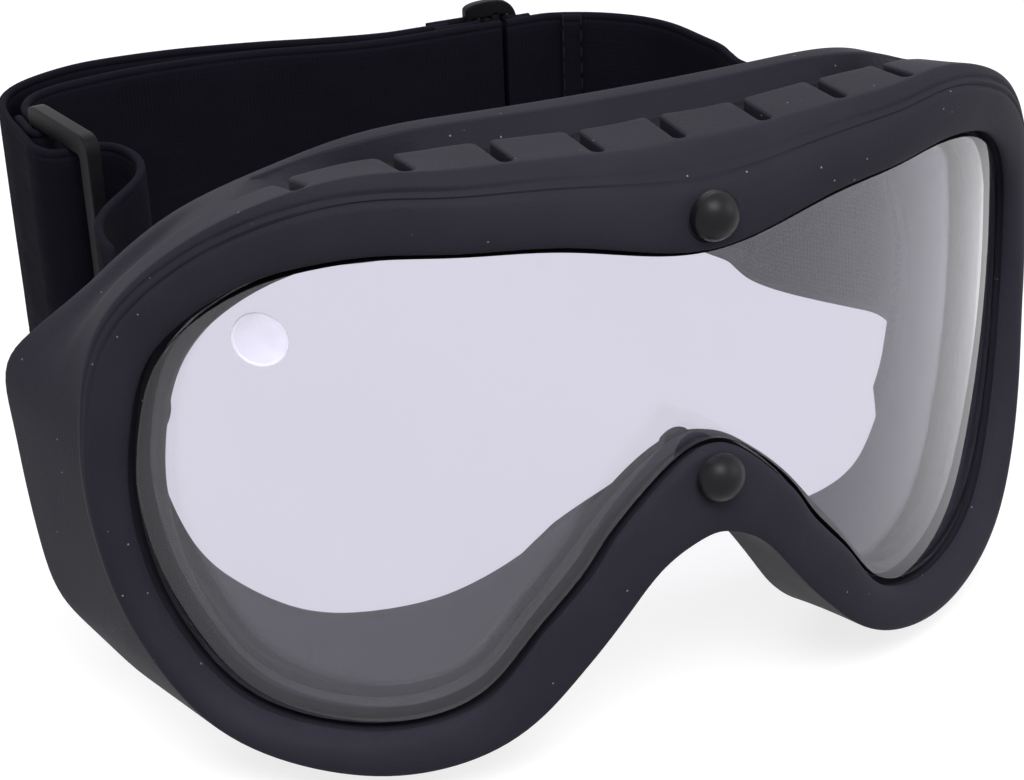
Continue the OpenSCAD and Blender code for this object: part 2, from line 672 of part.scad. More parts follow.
// A slide's plate, drawn along X and Z: a rounded frame that is open at its
// left, where the round bar closes it
module plate(length, thick, corner, bar_w) {
  rotate([90, 0, 0])
    linear_extrude(thick, center = true)
      difference() {
        rounded(length, slide_h, corner);
        translate([-length, -window_h / 2])
          square([1.5 * length - bar_w, window_h]);
      }
}
module side_slide() {
  color(black)
    translate(follow(side_at))
      rotate([0, 0, side_turn]) {
        rotate([0, 0, -90])
          plate(side_slide_l, side_slide_t, side_corner, side_bar_w);
        translate([side_bar_x, side_bar_y, 0])
          cylinder(d = side_bar_d, h = window_h + 1, center = true, $fn = 48);
      }
}
module side_slide_tab() {
  translate(follow(side_at) + side_bar - side_at)
    rotate([0, 0, -90])
      tab(side_leg, side_reach);
}
end_bar_w = 1.5;
module back_slide() {
  color(black)
    translate(follow(back_at)) {
      plate(back_slide_l, back_slide_t, back_slide_l / 2 - 0.05, end_bar_w);
      translate([mid_bar_x, -back_slide_t / 2, -window_h / 2 - 0.5])
        cube([back_bar_w, back_slide_t, window_h + 1]);
      translate([-back_bar_x, 0, 0])
        cylinder(d = back_bar_w, h = window_h + 0.6, center = true,
          $fn = 48);
    }
}
module back_slide_tab() {
  reach = back_at[0] - back_bar_x - outer_end + back_travel + 0.6;
  translate(follow(back_at) - [back_bar_x, 0])
    tab(back_leg, reach);
}

frame_shell();
lens_outer();
lens_gasket();
lens_inner();
breather_disc();
stud_top();
stud_bottom();
stud_cap_top();
stud_cap_bottom();
roof_filter();
face_cushion();
anchor_bar_left();
anchor_bar_right();
strap_end_left();
strap_end_right();
strap_outer_layer();
strap_inner_layer();
strap_weave();
strap_right();
strap_seam();
side_slide();
side_slide_tab();
back_slide();
back_slide_tab();
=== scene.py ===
import math

import bmesh
import bpy
import numpy as np
from mathutils import Matrix, Vector, noise
from mathutils.bvhtree import BVHTree


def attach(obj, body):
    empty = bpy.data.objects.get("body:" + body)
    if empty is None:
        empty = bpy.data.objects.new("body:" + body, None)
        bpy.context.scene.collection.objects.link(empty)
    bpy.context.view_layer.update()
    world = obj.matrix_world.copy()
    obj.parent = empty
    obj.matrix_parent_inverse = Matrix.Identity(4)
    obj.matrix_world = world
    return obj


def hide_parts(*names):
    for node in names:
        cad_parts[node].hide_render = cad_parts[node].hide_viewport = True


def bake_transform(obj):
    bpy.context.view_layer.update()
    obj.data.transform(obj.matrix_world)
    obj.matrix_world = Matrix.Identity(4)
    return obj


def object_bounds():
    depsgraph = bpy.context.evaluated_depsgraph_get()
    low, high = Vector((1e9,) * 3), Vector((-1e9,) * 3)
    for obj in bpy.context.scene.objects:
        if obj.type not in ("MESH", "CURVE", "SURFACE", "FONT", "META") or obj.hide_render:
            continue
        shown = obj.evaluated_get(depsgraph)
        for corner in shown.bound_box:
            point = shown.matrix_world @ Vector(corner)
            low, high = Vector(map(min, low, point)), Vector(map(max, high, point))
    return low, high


# Impact goggles: the looks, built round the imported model. The dictionaries are
# in millimetres and degrees, those of the stage in metres, as every mesh is.
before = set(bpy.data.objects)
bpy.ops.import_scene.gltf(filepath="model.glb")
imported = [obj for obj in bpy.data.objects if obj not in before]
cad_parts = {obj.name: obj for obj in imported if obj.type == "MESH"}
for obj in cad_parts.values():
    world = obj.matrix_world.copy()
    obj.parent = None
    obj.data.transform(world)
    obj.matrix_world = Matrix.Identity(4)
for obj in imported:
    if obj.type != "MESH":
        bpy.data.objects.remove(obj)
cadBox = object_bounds()
mm = 0.001


# Small helpers for meshes
def linkObject(obj):
    bpy.context.scene.collection.objects.link(obj)
    return obj


def smoothShade(mesh, angle=40):
    mesh.shade_smooth()
    mesh.set_sharp_from_angle(angle=math.radians(angle))


def makeMesh(name, points, faces, material=None, angle=40, edges=()):
    mesh = bpy.data.meshes.new(name)
    mesh.from_pydata([tuple(p) for p in np.asarray(points, float) * mm],
                     list(edges), [tuple(int(i) for i in f) for f in faces])
    mesh.update()
    if material:
        mesh.materials.append(material)
    if len(faces):
        smoothShade(mesh, angle)
    return linkObject(bpy.data.objects.new(name, mesh))


def plainMesh(obj, name, angle=40):  # what is live on an object, made plain
    graph = bpy.context.evaluated_depsgraph_get()
    mesh = bpy.data.meshes.new_from_object(obj.evaluated_get(graph))
    bpy.data.objects.remove(obj)
    mesh.name = name
    smoothShade(mesh, angle)
    return linkObject(bpy.data.objects.new(name, mesh))


def fixNormals(obj, angle=40):
    work = bmesh.new()
    work.from_mesh(obj.data)
    bmesh.ops.remove_doubles(work, verts=work.verts, dist=1e-6)
    bmesh.ops.recalc_face_normals(work, faces=work.faces)
    work.to_mesh(obj.data)
    work.free()
    obj.data.update()
    smoothShade(obj.data, angle)
    return obj


def loft(rows, closed=False):  # faces between rows of points, each a loop
    rows = np.asarray(rows, float)
    n, m = rows.shape[:2]
    faces = []
    for i in range(n if closed else n - 1):
        k = (i + 1) % n
        for j in range(m):
            l = (j + 1) % m
            faces.append((i * m + j, i * m + l, k * m + l, k * m + j))
    if not closed:
        faces.append(tuple(range(m - 1, -1, -1)))
        faces.append(tuple((n - 1) * m + j for j in range(m)))
    return rows.reshape(-1, 3), faces


def loftPiece(name, rows, material=None, closed=False, angle=40):
    return fixNormals(makeMesh(name, *loft(rows, closed), material), angle)


def joinMeshes(name, objects, angle=40):
    work = bmesh.new()
    materials = []
    for obj in objects:
        start = len(work.faces)
        work.from_mesh(obj.data)
        work.faces.ensure_lookup_table()
        own = [m for m in obj.data.materials if m][0]
        if own not in materials:
            materials.append(own)
        index = materials.index(own)
        for face in work.faces[start:]:
            face.material_index = index
    mesh = bpy.data.meshes.new(name)
    work.to_mesh(mesh)
    work.free()
    for material in materials:
        mesh.materials.append(material)
    smoothShade(mesh, angle)
    for obj in objects:
        bpy.data.objects.remove(obj)
    return linkObject(bpy.data.objects.new(name, mesh))


def finishPiece(obj, body, slot, *nodes):
    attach(obj, body)
    if nodes:
        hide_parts(*nodes)
    return obj


def bentCorner(p, a, b, r, shares):  # a curve of about r for the corner p
    s, e = (p + (q - p) * np.minimum(r / (np.linalg.norm(
        q - p, axis=-1, keepdims=True) + 1e-9), 0.48) for q in (a, b))
    return [s * (1 - t) ** 2 + p * 2 * t * (1 - t) + e * t * t
            for t in shares]


def roundedLoop(corners, radii, steps=5):  # a 2D loop with rounded corners
    corners = np.asarray(corners, float)
    radii = np.broadcast_to(radii, len(corners))
    shares = [k / steps for k in range(steps + 1)]
    loop = []
    for i, (p, r) in enumerate(zip(corners, radii)):
        after = corners[(i + 1) % len(corners)]
        loop += bentCorner(p, corners[i - 1], after, r, shares) if r else [p]
    return np.array(loop)


# Camera: the photograph's view
cameraView = {"place": (-149.909, -261.798, 154.305), "azimuth": -27.376,
              "elevation": 26.218, "roll": -0.934, "lens": 80.95,
              "shift": (-0.11, 0.01898)}
az, el, roll = (math.radians(cameraView[k])
                for k in ("azimuth", "elevation", "roll"))
camBack = Vector((math.sin(az) * math.cos(el), -math.cos(az) * math.cos(el),
                  math.sin(el)))
camRight = (-camBack).cross(Vector((0, 0, 1))).normalized()
camUp = camRight.cross(-camBack)
camRight, camUp = (camRight * math.cos(roll) + camUp * math.sin(roll),
                   camUp * math.cos(roll) - camRight * math.sin(roll))
cameraData = bpy.data.cameras.new("photoCamera")
cameraData.sensor_fit = "HORIZONTAL"
cameraData.sensor_width = 36
cameraData.lens = cameraView["lens"]
cameraData.shift_x, cameraData.shift_y = cameraView["shift"]
cameraData.clip_start, cameraData.clip_end = 0.01, 20
camera = linkObject(bpy.data.objects.new("photoCamera", cameraData))
camera.matrix_world = Matrix.Translation(
    Vector(cameraView["place"]) * mm) @ Matrix(
        (camRight, camUp, camBack)).transposed().to_4x4()
bpy.context.scene.camera = camera
print("camera set")


# Node helpers
def fillInputs(tree, node, values):  # a socket is linked, a value is set
    for key, value in values.items():
        if isinstance(value, bpy.types.NodeSocket):
            tree.links.new(value, node.inputs[key])
        else:
            node.inputs[key].default_value = value


def addNode(tree, kind, inputs=None, **settings):
    node = tree.nodes.new(kind)
    for key, value in settings.items():
        setattr(node, key, value)
    fillInputs(tree, node, inputs or {})
    return node


def addMath(tree, operation, a, b=0.0):
    return addNode(tree, "ShaderNodeMath", {0: a, 1: b},
                   operation=operation).outputs[0]


def addMix(tree, factor, a, b):  # a colour between two
    return addNode(tree, "ShaderNodeMix", {0: factor, 6: a, 7: b},
                   data_type="RGBA").outputs[2]


def addNoise(tree, vector, scale, detail, roughness=0.5):
    return addNode(tree, "ShaderNodeTexNoise", {
        "Vector": vector, "Scale": scale, "Detail": detail,
        "Roughness": roughness})


def addRange(tree, value, low, high, toLow=0.0, toHigh=1.0):
    return addNode(tree, "ShaderNodeMapRange", {
        "Value": value, "From Min": low, "From Max": high, "To Min": toLow,
        "To Max": toHigh}).outputs[0]


def makeGroup(name, kind, inputs, outputs):
    tree = bpy.data.node_groups.new(name, kind)
    for label, socketKind, value in inputs:
        socket = tree.interface.new_socket(label, in_out="INPUT",
                                           socket_type=socketKind)
        if value is not None:
            socket.default_value = value
    for label, socketKind in outputs:
        tree.interface.new_socket(label, in_out="OUTPUT",
                                  socket_type=socketKind)
    return (tree, tree.nodes.new("NodeGroupInput").outputs,
            tree.nodes.new("NodeGroupOutput"))


floatKind, vectorKind = "NodeSocketFloat", "NodeSocketVector"


# Shared material effects
def makeGrain():  # fine moulding grain and slow tone changes
    tree, given, wanted = makeGroup("mouldingGrain", "ShaderNodeTree", [
        ("Vector", vectorKind, None), ("Grain Scale", floatKind, 2200),
        ("Mottle Scale", floatKind, 45)],
        [("Height", floatKind), ("Mottle", floatKind)])
    fine = addNoise(tree, given["Vector"], given["Grain Scale"], 3.0, 0.6)
    slow = addNoise(tree, given["Vector"], given["Mottle Scale"], 4.0, 0.55)
    fillInputs(tree, wanted, {
        "Height": fine.outputs[0],
        "Mottle": addRange(tree, slow.outputs[0], 0.32, 0.68)})
    return tree


def makeDust():  # sparse pale specks
    tree, given, wanted = makeGroup("dustSpecks", "ShaderNodeTree", [
        ("Vector", vectorKind, None), ("Scale", floatKind, 300),
        ("Size", floatKind, 0.055), ("Share", floatKind, 0.5)],
        [("Mask", floatKind)])
    cells = addNode(tree, "ShaderNodeTexVoronoi", {
        "Vector": given["Vector"], "Scale": given["Scale"]})
    spot = addRange(tree, cells.outputs["Distance"], given["Size"],
                    addMath(tree, "MULTIPLY", given["Size"], 0.55))
    chance = addNode(tree, "ShaderNodeSeparateColor",
                     {"Color": cells.outputs["Color"]}).outputs[0]
    pick = addMath(tree, "LESS_THAN", chance, given["Share"])
    fillInputs(tree, wanted, {"Mask": addMath(tree, "MULTIPLY", spot, pick)})
    return tree


def makeKnit():  # ribs of knitted elastic, laid out on the cloth's own map
    tree, given, wanted = makeGroup("elasticKnit", "ShaderNodeTree", [
        ("Vector", vectorKind, None), ("Rib Scale", floatKind, 330),
        ("Row Scale", floatKind, 420)],
        [("Height", floatKind), ("Tone", floatKind), ("Edge", floatKind)])

    def wave(scale, wobble, way):
        return addNode(tree, "ShaderNodeTexWave", {
            "Vector": given["Vector"], "Scale": given[scale],
            "Distortion": wobble, "Detail": 1.0},
            bands_direction=way).outputs["Fac"]
    woven = addMath(tree, "MULTIPLY", wave("Rib Scale", 0.4, "Y"),
                    wave("Row Scale", 0.8, "X"))
    pile = addNoise(tree, given["Vector"], 2600.0, 2.0)
    height = addMath(tree, "ADD", addMath(tree, "MULTIPLY", woven, 0.35),
                     addMath(tree, "MULTIPLY", pile.outputs[0], 0.65))
    drawn = addNode(tree, "ShaderNodeMapping", {
        "Vector": given["Vector"], "Scale": (1, 3, 1)}).outputs[0]
    cloud = addNoise(tree, drawn, 60.0, 5.0, 0.65)
    across = addNode(tree, "ShaderNodeSeparateXYZ",
                     {"Vector": given["Vector"]}).outputs["Y"]
    fillInputs(tree, wanted, {
        "Height": height,
        "Tone": addRange(tree, cloud.outputs[0], 0.3, 0.7),
        "Edge": addRange(tree, addMath(tree, "ABSOLUTE", across),
                         0.0204, 0.0209)})  # metres from the band's middle
    return tree


def makePores():  # open foam
    tree, given, wanted = makeGroup("foamPores", "ShaderNodeTree", [
        ("Vector", vectorKind, None), ("Scale", floatKind, 1100)],
        [("Height", floatKind), ("Tone", floatKind)])
    cells = addNode(tree, "ShaderNodeTexVoronoi", {
        "Vector": given["Vector"], "Scale": given["Scale"]})
    coarse = addNoise(tree, given["Vector"], 300.0, 4.0).outputs[0]
    fillInputs(tree, wanted, {
        "Height": addMath(tree, "ADD", cells.outputs["Distance"],
                          addMath(tree, "MULTIPLY", coarse, 0.5)),
        "Tone": addRange(tree, coarse, 0.35, 0.65)})
    return tree


groups = {"grain": makeGrain(), "dust": makeDust(), "knit": makeKnit(),
          "pores": makePores()}


def useGroup(tree, name, inputs):
    return addNode(tree, "ShaderNodeGroup", inputs,
                   node_tree=groups[name]).outputs


def newMaterial(name):
    material = bpy.data.materials.new(name)
    material.use_nodes = True
    tree = material.node_tree
    return material, tree, tree.nodes["Principled BSDF"], tree.nodes[
        "Material Output"]


def objectPlace(tree):
    return tree.nodes.new("ShaderNodeTexCoord").outputs["Object"]


def addBump(tree, height, strength, distance):
    return addNode(tree, "ShaderNodeBump", {
        "Height": height, "Strength": strength,
        "Distance": distance}).outputs[0]


def moulded(name, dark, light, roughness, grainScale=2200, bump=0.15,
            dust=0.0, specular=0.5):
    material, tree, shader, _ = newMaterial(name)
    place = objectPlace(tree)
    grain = useGroup(tree, "grain", {
        "Vector": place, "Grain Scale": grainScale})
    colour = addMix(tree, grain["Mottle"], (*dark, 1), (*light, 1))
    if dust:
        specks = useGroup(tree, "dust", {"Vector": place, "Share": dust})
        colour = addMix(tree, addMath(tree, "MULTIPLY", specks["Mask"], 0.4),
                        colour, (0.62, 0.62, 0.64, 1))
    fillInputs(tree, shader, {
        "Base Color": colour, "Specular IOR Level": specular,
        "Roughness": addRange(tree, grain["Mottle"], 0, 1, *roughness),
        "Normal": addBump(tree, grain["Height"], bump, 0.0002)})
    return material


rubber = moulded("matteRubber", (0.0230, 0.0216, 0.0300),
                 (0.0285, 0.0269, 0.0370), (0.52, 0.62), dust=0.75,
                 bump=0.42, specular=0.05)
studFinish = moulded("satinStud", (0.007, 0.007, 0.0085),
                     (0.010, 0.010, 0.012), (0.34, 0.40), bump=0.05,
                     specular=0.18)
slideFinish = moulded("slidePlastic", (0.006, 0.006, 0.0075),
                      (0.009, 0.009, 0.011), (0.42, 0.5), grainScale=3000,
                      bump=0.1, specular=0.08)
barFinish = moulded("barMetal", (0.03, 0.03, 0.032), (0.045, 0.045, 0.05),
                    (0.3, 0.42), bump=0.08)


def makeElastic():
    material, tree, shader, _ = newMaterial("blackElastic")
    place = addNode(tree, "ShaderNodeUVMap", uv_map="clothMap").outputs[0]
    knit = useGroup(tree, "knit", {"Vector": place})
    colour = addMix(tree, knit["Tone"], (0.0042, 0.0040, 0.0070, 1),
                    (0.0068, 0.0065, 0.0105, 1))
    for mask, pale in ((knit["Height"], (0.011, 0.0105, 0.017, 1)),
                       (knit["Edge"], (0.012, 0.0115, 0.018, 1))):
        colour = addMix(tree, addMath(tree, "MULTIPLY", mask, 0.5),
                        colour, pale)
    fillInputs(tree, shader, {
        "Base Color": colour, "Specular IOR Level": 0.03,
        "Roughness": addRange(tree, knit["Tone"], 0, 1, 0.78, 0.95),
        "Normal": addBump(tree, knit["Height"], 0.5, 0.0002)})
    return material


def makeFoam(name, dark, light, poreScale):
    material, tree, shader, _ = newMaterial(name)
    pores = useGroup(tree, "pores", {
        "Vector": objectPlace(tree), "Scale": poreScale})
    fillInputs(tree, shader, {
        "Base Color": addMix(tree, pores["Tone"], (*dark, 1), (*light, 1)),
        "Roughness": addRange(tree, pores["Tone"], 0, 1, 0.85, 0.97),
        "Specular IOR Level": 0.15,
        "Normal": addBump(tree, pores["Height"], 0.6, 0.0004)})
    return material


def makeClear(name, tint):
    material, tree, shader, output = newMaterial(name)
    grain = useGroup(tree, "grain", {
        "Vector": objectPlace(tree), "Grain Scale": 900, "Mottle Scale": 18})
    deeper = (*(c * 0.985 for c in tint), 1)
    fillInputs(tree, shader, {
        "Base Color": addMix(tree, grain["Mottle"], (*tint, 1), deeper),
        "Roughness": addRange(tree, grain["Mottle"], 0, 1, 0.0, 0.015),
        "Transmission Weight": 1.0, "IOR": 1.5})
    clear = addNode(tree, "ShaderNodeBsdfTransparent", {"Color": (*tint, 1)})
    path = tree.nodes.new("ShaderNodeLightPath")
    mixed = addNode(tree, "ShaderNodeMixShader", {
        0: path.outputs["Is Shadow Ray"], 1: shader.outputs[0],
        2: clear.outputs[0]})
    fillInputs(tree, output, {"Surface": mixed.outputs[0]})
    return material


def makeMembrane(name, colour, poreScale, glow):
    material, tree, shader, _ = newMaterial(name)
    pores = useGroup(tree, "pores", {
        "Vector": objectPlace(tree), "Scale": poreScale})
    deeper = (*(c * 0.9 for c in colour), 1)
    # the emission is painted light: the membrane glows brighter than its lighting makes it
    fillInputs(tree, shader, {
        "Base Color": addMix(tree, pores["Tone"], (*colour, 1), deeper),
        "Roughness": addRange(tree, pores["Tone"], 0, 1, 0.5, 0.62),
        "Emission Color": (*colour, 1), "Emission Strength": glow,
        "Normal": addBump(tree, pores["Height"], 0.2, 0.0001)})
    return material


elastic = makeElastic()
cushionFoam = makeFoam("cushionFoam", (0.009, 0.009, 0.011),
                       (0.016, 0.016, 0.019), 1100)
filterFoam = makeFoam("filterFoam", (0.008, 0.008, 0.010),
                      (0.014, 0.014, 0.016), 1500)
clearLens = makeClear("clearLens", (0.81, 0.80, 0.87))
innerLens = makeClear("innerLens", (0.83, 0.82, 0.88))
# near-black finish for the lenses' sides and step: painted shade of the dark gap at the
# lens's edge
lensSideShade = moulded("lensSideShade", (0.010, 0.010, 0.013), (0.014, 0.014, 0.018),
                   (0.6, 0.7), bump=0.1, specular=0.1)
gasketFinish = moulded("gasketStrip", (0.014, 0.0135, 0.018),
                       (0.018, 0.0175, 0.023), (0.5, 0.6), bump=0.1,
                       specular=0.15)
# the breather membrane gets a painted glow, so it shows brighter than the lit lens around
# it
breatherFinish = makeMembrane("breatherMembrane", (0.97, 0.97, 0.99), 2200,
                              0.32)
thread = moulded("seamThread", (0.006, 0.006, 0.009), (0.010, 0.010, 0.014),
                 (0.6, 0.75), grainScale=5000, bump=0.3, specular=0.15)
print("materials made")


# The frame's outline, from the middle of the roof round to the nose: each row
# of a table starts with its place on the way, from 0 to 15
frameSizes = {"curveRadius": 104.5, "wall": 3.2, "roofWall": 6.2,
              "flange": 2.5, "wingReach": 7, "groove": 3.7, "recess": 2.4,
              "lip": 2.3, "outerLens": 2, "innerLens": 1.2, "lensGap": 3,
              "fit": 0.15, "ridgeCut": 0.42, "perPlace": 12, "rimSteps": 44,
              "undercut": 0.5, "lensFront": 1.1, "lensStep": 2.25,
              "slopeStep": 0.05, "noseReach": 19,
              # the lines cut in the rim: share of its width, how far that
              # drifts towards the sides, and the line's own width
              "ridges": ((0.705, 0.03, 0.025), (0.785, 0.075, 0.028)),
              # the hollow shoulder: share of the way back, and the depth
              "shoulder": ((0.2, 0), (0.3, 0), (0.4, 0.15), (0.48, 0.8),
                           (0.56, 1.2), (0.64, 1.3), (0.72, 1.3), (0.78, 1),
                           (0.84, 0.2))}
# The opening's edge: x and z
opening = [[0, 0, 30.5], [1, 21, 34.5], [2, 36, 35], [3, 49.5, 35],
           [4, 63, 30.5], [5, 73.5, 19.5], [6, 77.3, 5], [7, 78, -9.5],
           [8, 75, -24.5], [9, 66.5, -38], [10, 50.5, -42], [11, 36, -38],
           [12, 27, -27], [13, 19.5, -18.5], [14, 13.5, -10], [15, 0, 0.5]]
# The rim's outer edge: out from the opening and back
rimEdge = [[0, 14.3, 8], [1, 11.5, 5.5], [2, 11.3, 3], [3, 11.2, 1.4],
           [4, 9.4, -0.8], [5, 8.3, -1.7], [6, 6.9, -2.2], [7, 5.2, -2.8],
           [8, 4.0, -3.8], [9, 4.4, -3.8], [10, 6, -3], [11, 7.2, -1.8],
           [12, 9, -0.8], [13, 8.5, -1], [14, 9.3, -1.2], [15, 13.9, -2]]
# Rear edge of the wall, then the flange's inner edge: steps in x, y and z
# from the opening's edge
rearEdge = [[0, 0, 29.5, 15.8], [1, 0, 27.5, 12], [2, 2, 25, 11],
            [3, 1.2, 24.2, 6.6], [4, 1.5, 23, 3.7], [5, 2.5, 20, 4],
            [5.5, 6.6, 21.8, 4.6], [6, 11.4, 24.4, 5.2],
            [6.5, 10.3, 24, 1.6], [7, 10, 23.4, -1.6],
            [7.5, 10.1, 24.2, -3.8], [8, 10.5, 25.4, -6.5],
            [8.5, 9.2, 24, -5.4], [9, 9, 20, -5], [10, 5.5, 20, -10],
            [11, 1, 20.5, -13.5], [12, -1, 20.5, -17.5],
            [13, -1.2, 20, -15], [14, -3.3, 20, -12.5], [15, 0, 21, -16.5]]
faceEdge = [[0, 0, 30, 0.5], [1, -1, 28.5, -2], [2, -2, 26, -2.5],
            [3, -3.5, 25.5, -6], [4, -6, 25, -10], [5, -10.3, 19.5, -6.6],
            [6, -10, 17, -3.8], [7, -9.8, 17, 1.4], [8, -10.2, 17.6, 3],
            [9, -8.2, 21.3, 8.6], [10, -2.6, 25.4, 8.2], [11, -3, 26, 5.3],
            [12, -4.4, 24.5, -0.5], [13, -4.4, 23.2, -3],
            [14, -6.2, 21, -5.4], [15, 0, 18, -10.5]]
# Shares of the wing's reach and of the hollow behind the lenses
wingShare = [[0, 0.07], [4, 0.07], [5, 0.17], [6, 1], [7, 1.08], [8, 1],
             [9, 0.1], [15, 0.07]]
hollowShare = [[0, 1], [11.5, 1], [12.8, 0.15], [13.5, 0], [15, 0]]
# How far the gasket and the rear lip show inside the opening, and how much
# thicker the roof gets towards its middle
gasketShow = [[0, 0.4], [2.5, 0.5], [4, 2.2], [5, 3.0], [6, 2.9], [8, 2.8],
              [9, 2.2], [11, 2.2], [13, 2.4], [14, 1.6], [15, 0.8]]
lipShow = [[0, -1], [3, -1], [4.5, 1.2], [6, 1.4], [7.5, 1.4], [8.3, 2.6],
           [9, 3.5], [11, 3.9], [12, 3.4], [13.5, 2.2], [15, 0.6]]
roofExtra = [[0, 2.3], [1, 2.1], [2, 1.8], [3, 1], [4, 0], [15, 0]]
lastPlace = 15
outerFront = frameSizes["recess"] + frameSizes["fit"]
gasketFront = outerFront + frameSizes["outerLens"]
innerFront = gasketFront + frameSizes["lensGap"]
packBack = innerFront + frameSizes["innerLens"] + frameSizes["fit"]
lipBack = packBack + frameSizes["lip"]


def curveAt(table, u, odd=False):  # a smooth curve through a table's rows
    t = np.array(table, float)
    first, final = t[1].copy(), t[-2].copy()
    first[0], final[0] = 2 * t[0, 0] - first[0], 2 * t[-1, 0] - final[0]
    if odd:
        first[1], final[1] = -first[1], -final[1]
    full = np.vstack([first, t, final])
    slopes = (full[2:, 1:] - full[:-2, 1:]) / (full[2:, :1] - full[:-2, :1])
    i = np.clip(np.searchsorted(t[:, 0], u, side="right") - 1, 0, len(t) - 2)
    h = (t[i + 1, 0] - t[i, 0])[:, None]
    q = (u - t[i, 0])[:, None] / h
    return (t[i, 1:] * (2 * q ** 3 - 3 * q ** 2 + 1)
            + slopes[i] * h * (q ** 3 - 2 * q ** 2 + q)
            + t[i + 1, 1:] * (3 * q ** 2 - 2 * q ** 3)
            + slopes[i + 1] * h * (q ** 3 - q ** 2))


def rampAt(table, u):
    t = np.array(table, float)
    return np.interp(u, t[:, 0], t[:, 1])


def unitRows(v):
    return v / np.linalg.norm(v, axis=1)[:, None]


def edgeAt(u):
    beyond = (u < 0) | (u > lastPlace)
    u = np.where(u < 0, -u, np.where(u > lastPlace, 2 * lastPlace - u, u))
    p, r = curveAt(opening, u, True), frameSizes["curveRadius"]
    x = p[:, 0]
    return np.stack([np.where(beyond, -x, x), r - np.sqrt(r * r - x * x),
                     p[:, 1]], 1)


def backwardsAt(u):
    p, r = edgeAt(u), frameSizes["curveRadius"]
    return np.stack([-p[:, 0], r - p[:, 1], 0 * p[:, 0]], 1) / r


def outwardsAt(u):
    step = frameSizes["slopeStep"]
    v = unitRows(np.cross(edgeAt(u + step) - edgeAt(u - step),
                          backwardsAt(u)))
    near = v.copy()  # near the nose it never crosses the middle
    near[:, 0] = np.maximum(v[:, 0], -edgeAt(u)[:, 0]
                            / frameSizes["noseReach"])
    return np.where((u < lastPlace - 2)[:, None], v, unitRows(near))


def pointAt(u, out, back):
    out = np.broadcast_to(out, u.shape)[:, None]
    back = np.broadcast_to(back, u.shape)[:, None]
    return edgeAt(u) + outwardsAt(u) * out + backwardsAt(u) * back


def rimAt(u):
    r = curveAt(rimEdge, u)
    return pointAt(u, r[:, 0], r[:, 1])


def rearAt(u):
    return edgeAt(u) + curveAt(rearEdge, u, True)


def faceAt(u):
    return edgeAt(u) + curveAt(faceEdge, u, True)


def inwardsAt(u):
    v = faceAt(u) - rearAt(u)
    v[:, 1] = 0
    return unitRows(v)


def wingAt(u):
    return np.maximum(0.3, frameSizes["wingReach"] * rampAt(wingShare, u))


def alongY(values):
    values = np.asarray(values, float)
    return np.stack([0 * values, values, 0 * values], 1)


def flangeRoot(u):
    return (rearAt(u) + inwardsAt(u) * frameSizes["wall"]
            + alongY(-wingAt(u)))


def shareBetween(u, start, end):  # 0 at start, 1 at end, even in between
    return np.clip((u - start) / (end - start), 0, 1)


def frontCurve(u, q):  # the rim's front face, from the lip to the edge
    r = curveAt(rimEdge, u)
    fall = np.minimum(0, r[:, 1]) * 0.8
    sideways, none = shareBetween(u, 3, 4.5), 0 * fall
    crown = sideways * shareBetween(u, 8, 6.5)
    # a, b, c and the edge r are the points that draw the curve
    a = np.stack([none, none + 0.3], 1)
    b = np.stack([none + 0.1, fall - 1.0], 1)
    c = np.stack([(0.78 - 0.05 * crown) * r[:, 0],
                  fall - 1.6 - 0.9 * crown], 1)
    p = 1 - q
    g = a * p ** 3 + b * 3 * p * p * q + c * 3 * p * q * q + r * q ** 3
    dip = sum(np.exp(-((q - (middle + drift * sideways)) / width) ** 2)
              for middle, drift, width in frameSizes["ridges"])
    cut = frameSizes["ridgeCut"] * shareBetween(u, 6.5, 4.5)
    return pointAt(u, g[:, 0], g[:, 1] + cut * dip)


def frameSection(u):  # one closed loop of points for each place
    size, show = frameSizes, -rampAt(lipShow, u)
    front, back = rimAt(u), rearAt(u)
    side, inward = back - front, inwardsAt(u)
    length = np.linalg.norm(side, axis=1)[:, None]
    root, inner = flangeRoot(u), faceAt(u)
    flange = np.array([0, -size["flange"], 0])
    lip = pointAt(u, size["groove"] - 0.5, lipBack)
    roofWall = (size["wall"] + size["roofWall"] * shareBetween(u, 4.4, 3.3)
                + rampAt(roofExtra, u))[:, None]
    near = (inner + flange) * 0.75 + lip * 0.25
    wide = back + inward * roofWall + alongY(-wingAt(u) - size["flange"])
    share = rampAt(hollowShare, u)[:, None]
    ceiling = near * (1 - share) + wide * share
    hollow = (shareBetween(u, 3.8, 4.3) * shareBetween(u, 6.2, 4.6)
              )[:, None] * outwardsAt(u)
    under, deep = size["undercut"], size["lensFront"] + size["lensStep"] - 0.1
    loop = [(pointAt(u, o, d), r) for o, d, r in (
        (-0.6, deep, 0), (-0.6, deep - 0.25, 0), (under, deep - 0.25, 0.2),
        (under, 1, 0.2), (0.2, 0.5, 0.2))]
    loop += [(frontCurve(u, q), 0)
             for q in np.linspace(0, 0.96, size["rimSteps"])]
    loop += [(front, 0.8), (front + side * (2.2 / length), 0)]
    loop += [(front + side * s - hollow * d, 0) for s, d in size["shoulder"]]
    loop += [(back - side / length, 0), (back, 0.8),
             (back + inward * size["wall"], 0.5), (root, 0.9), (inner, 0.7),
             (inner + flange, 0.7), (ceiling, 1.2), ((ceiling + lip) / 2, 0),
             (lip, 0.5)]
    loop += [(pointAt(u, o, d), r) for o, d, r in (
        (1, lipBack, 0.5), (show, packBack + 1.4, 0.5), (show, packBack, 0.3),
        (size["groove"], packBack, 0), (size["groove"], deep, 0))]
    spots = []
    for i, (p, r) in enumerate(loop):
        before, after = loop[i - 1][0], loop[(i + 1) % len(loop)][0]
        shares = (0, 0.25, 0.5, 0.75, 1) if r > 0.6 else (0, 0.5, 1)
        spots += bentCorner(p, before, after, r, shares) if r else [p]
    rows = np.stack(spots, 1)
    away = np.linalg.norm(rows - edgeAt(u)[:, None], axis=2)
    return rows, shareBetween(away, 1.5, 4.5)


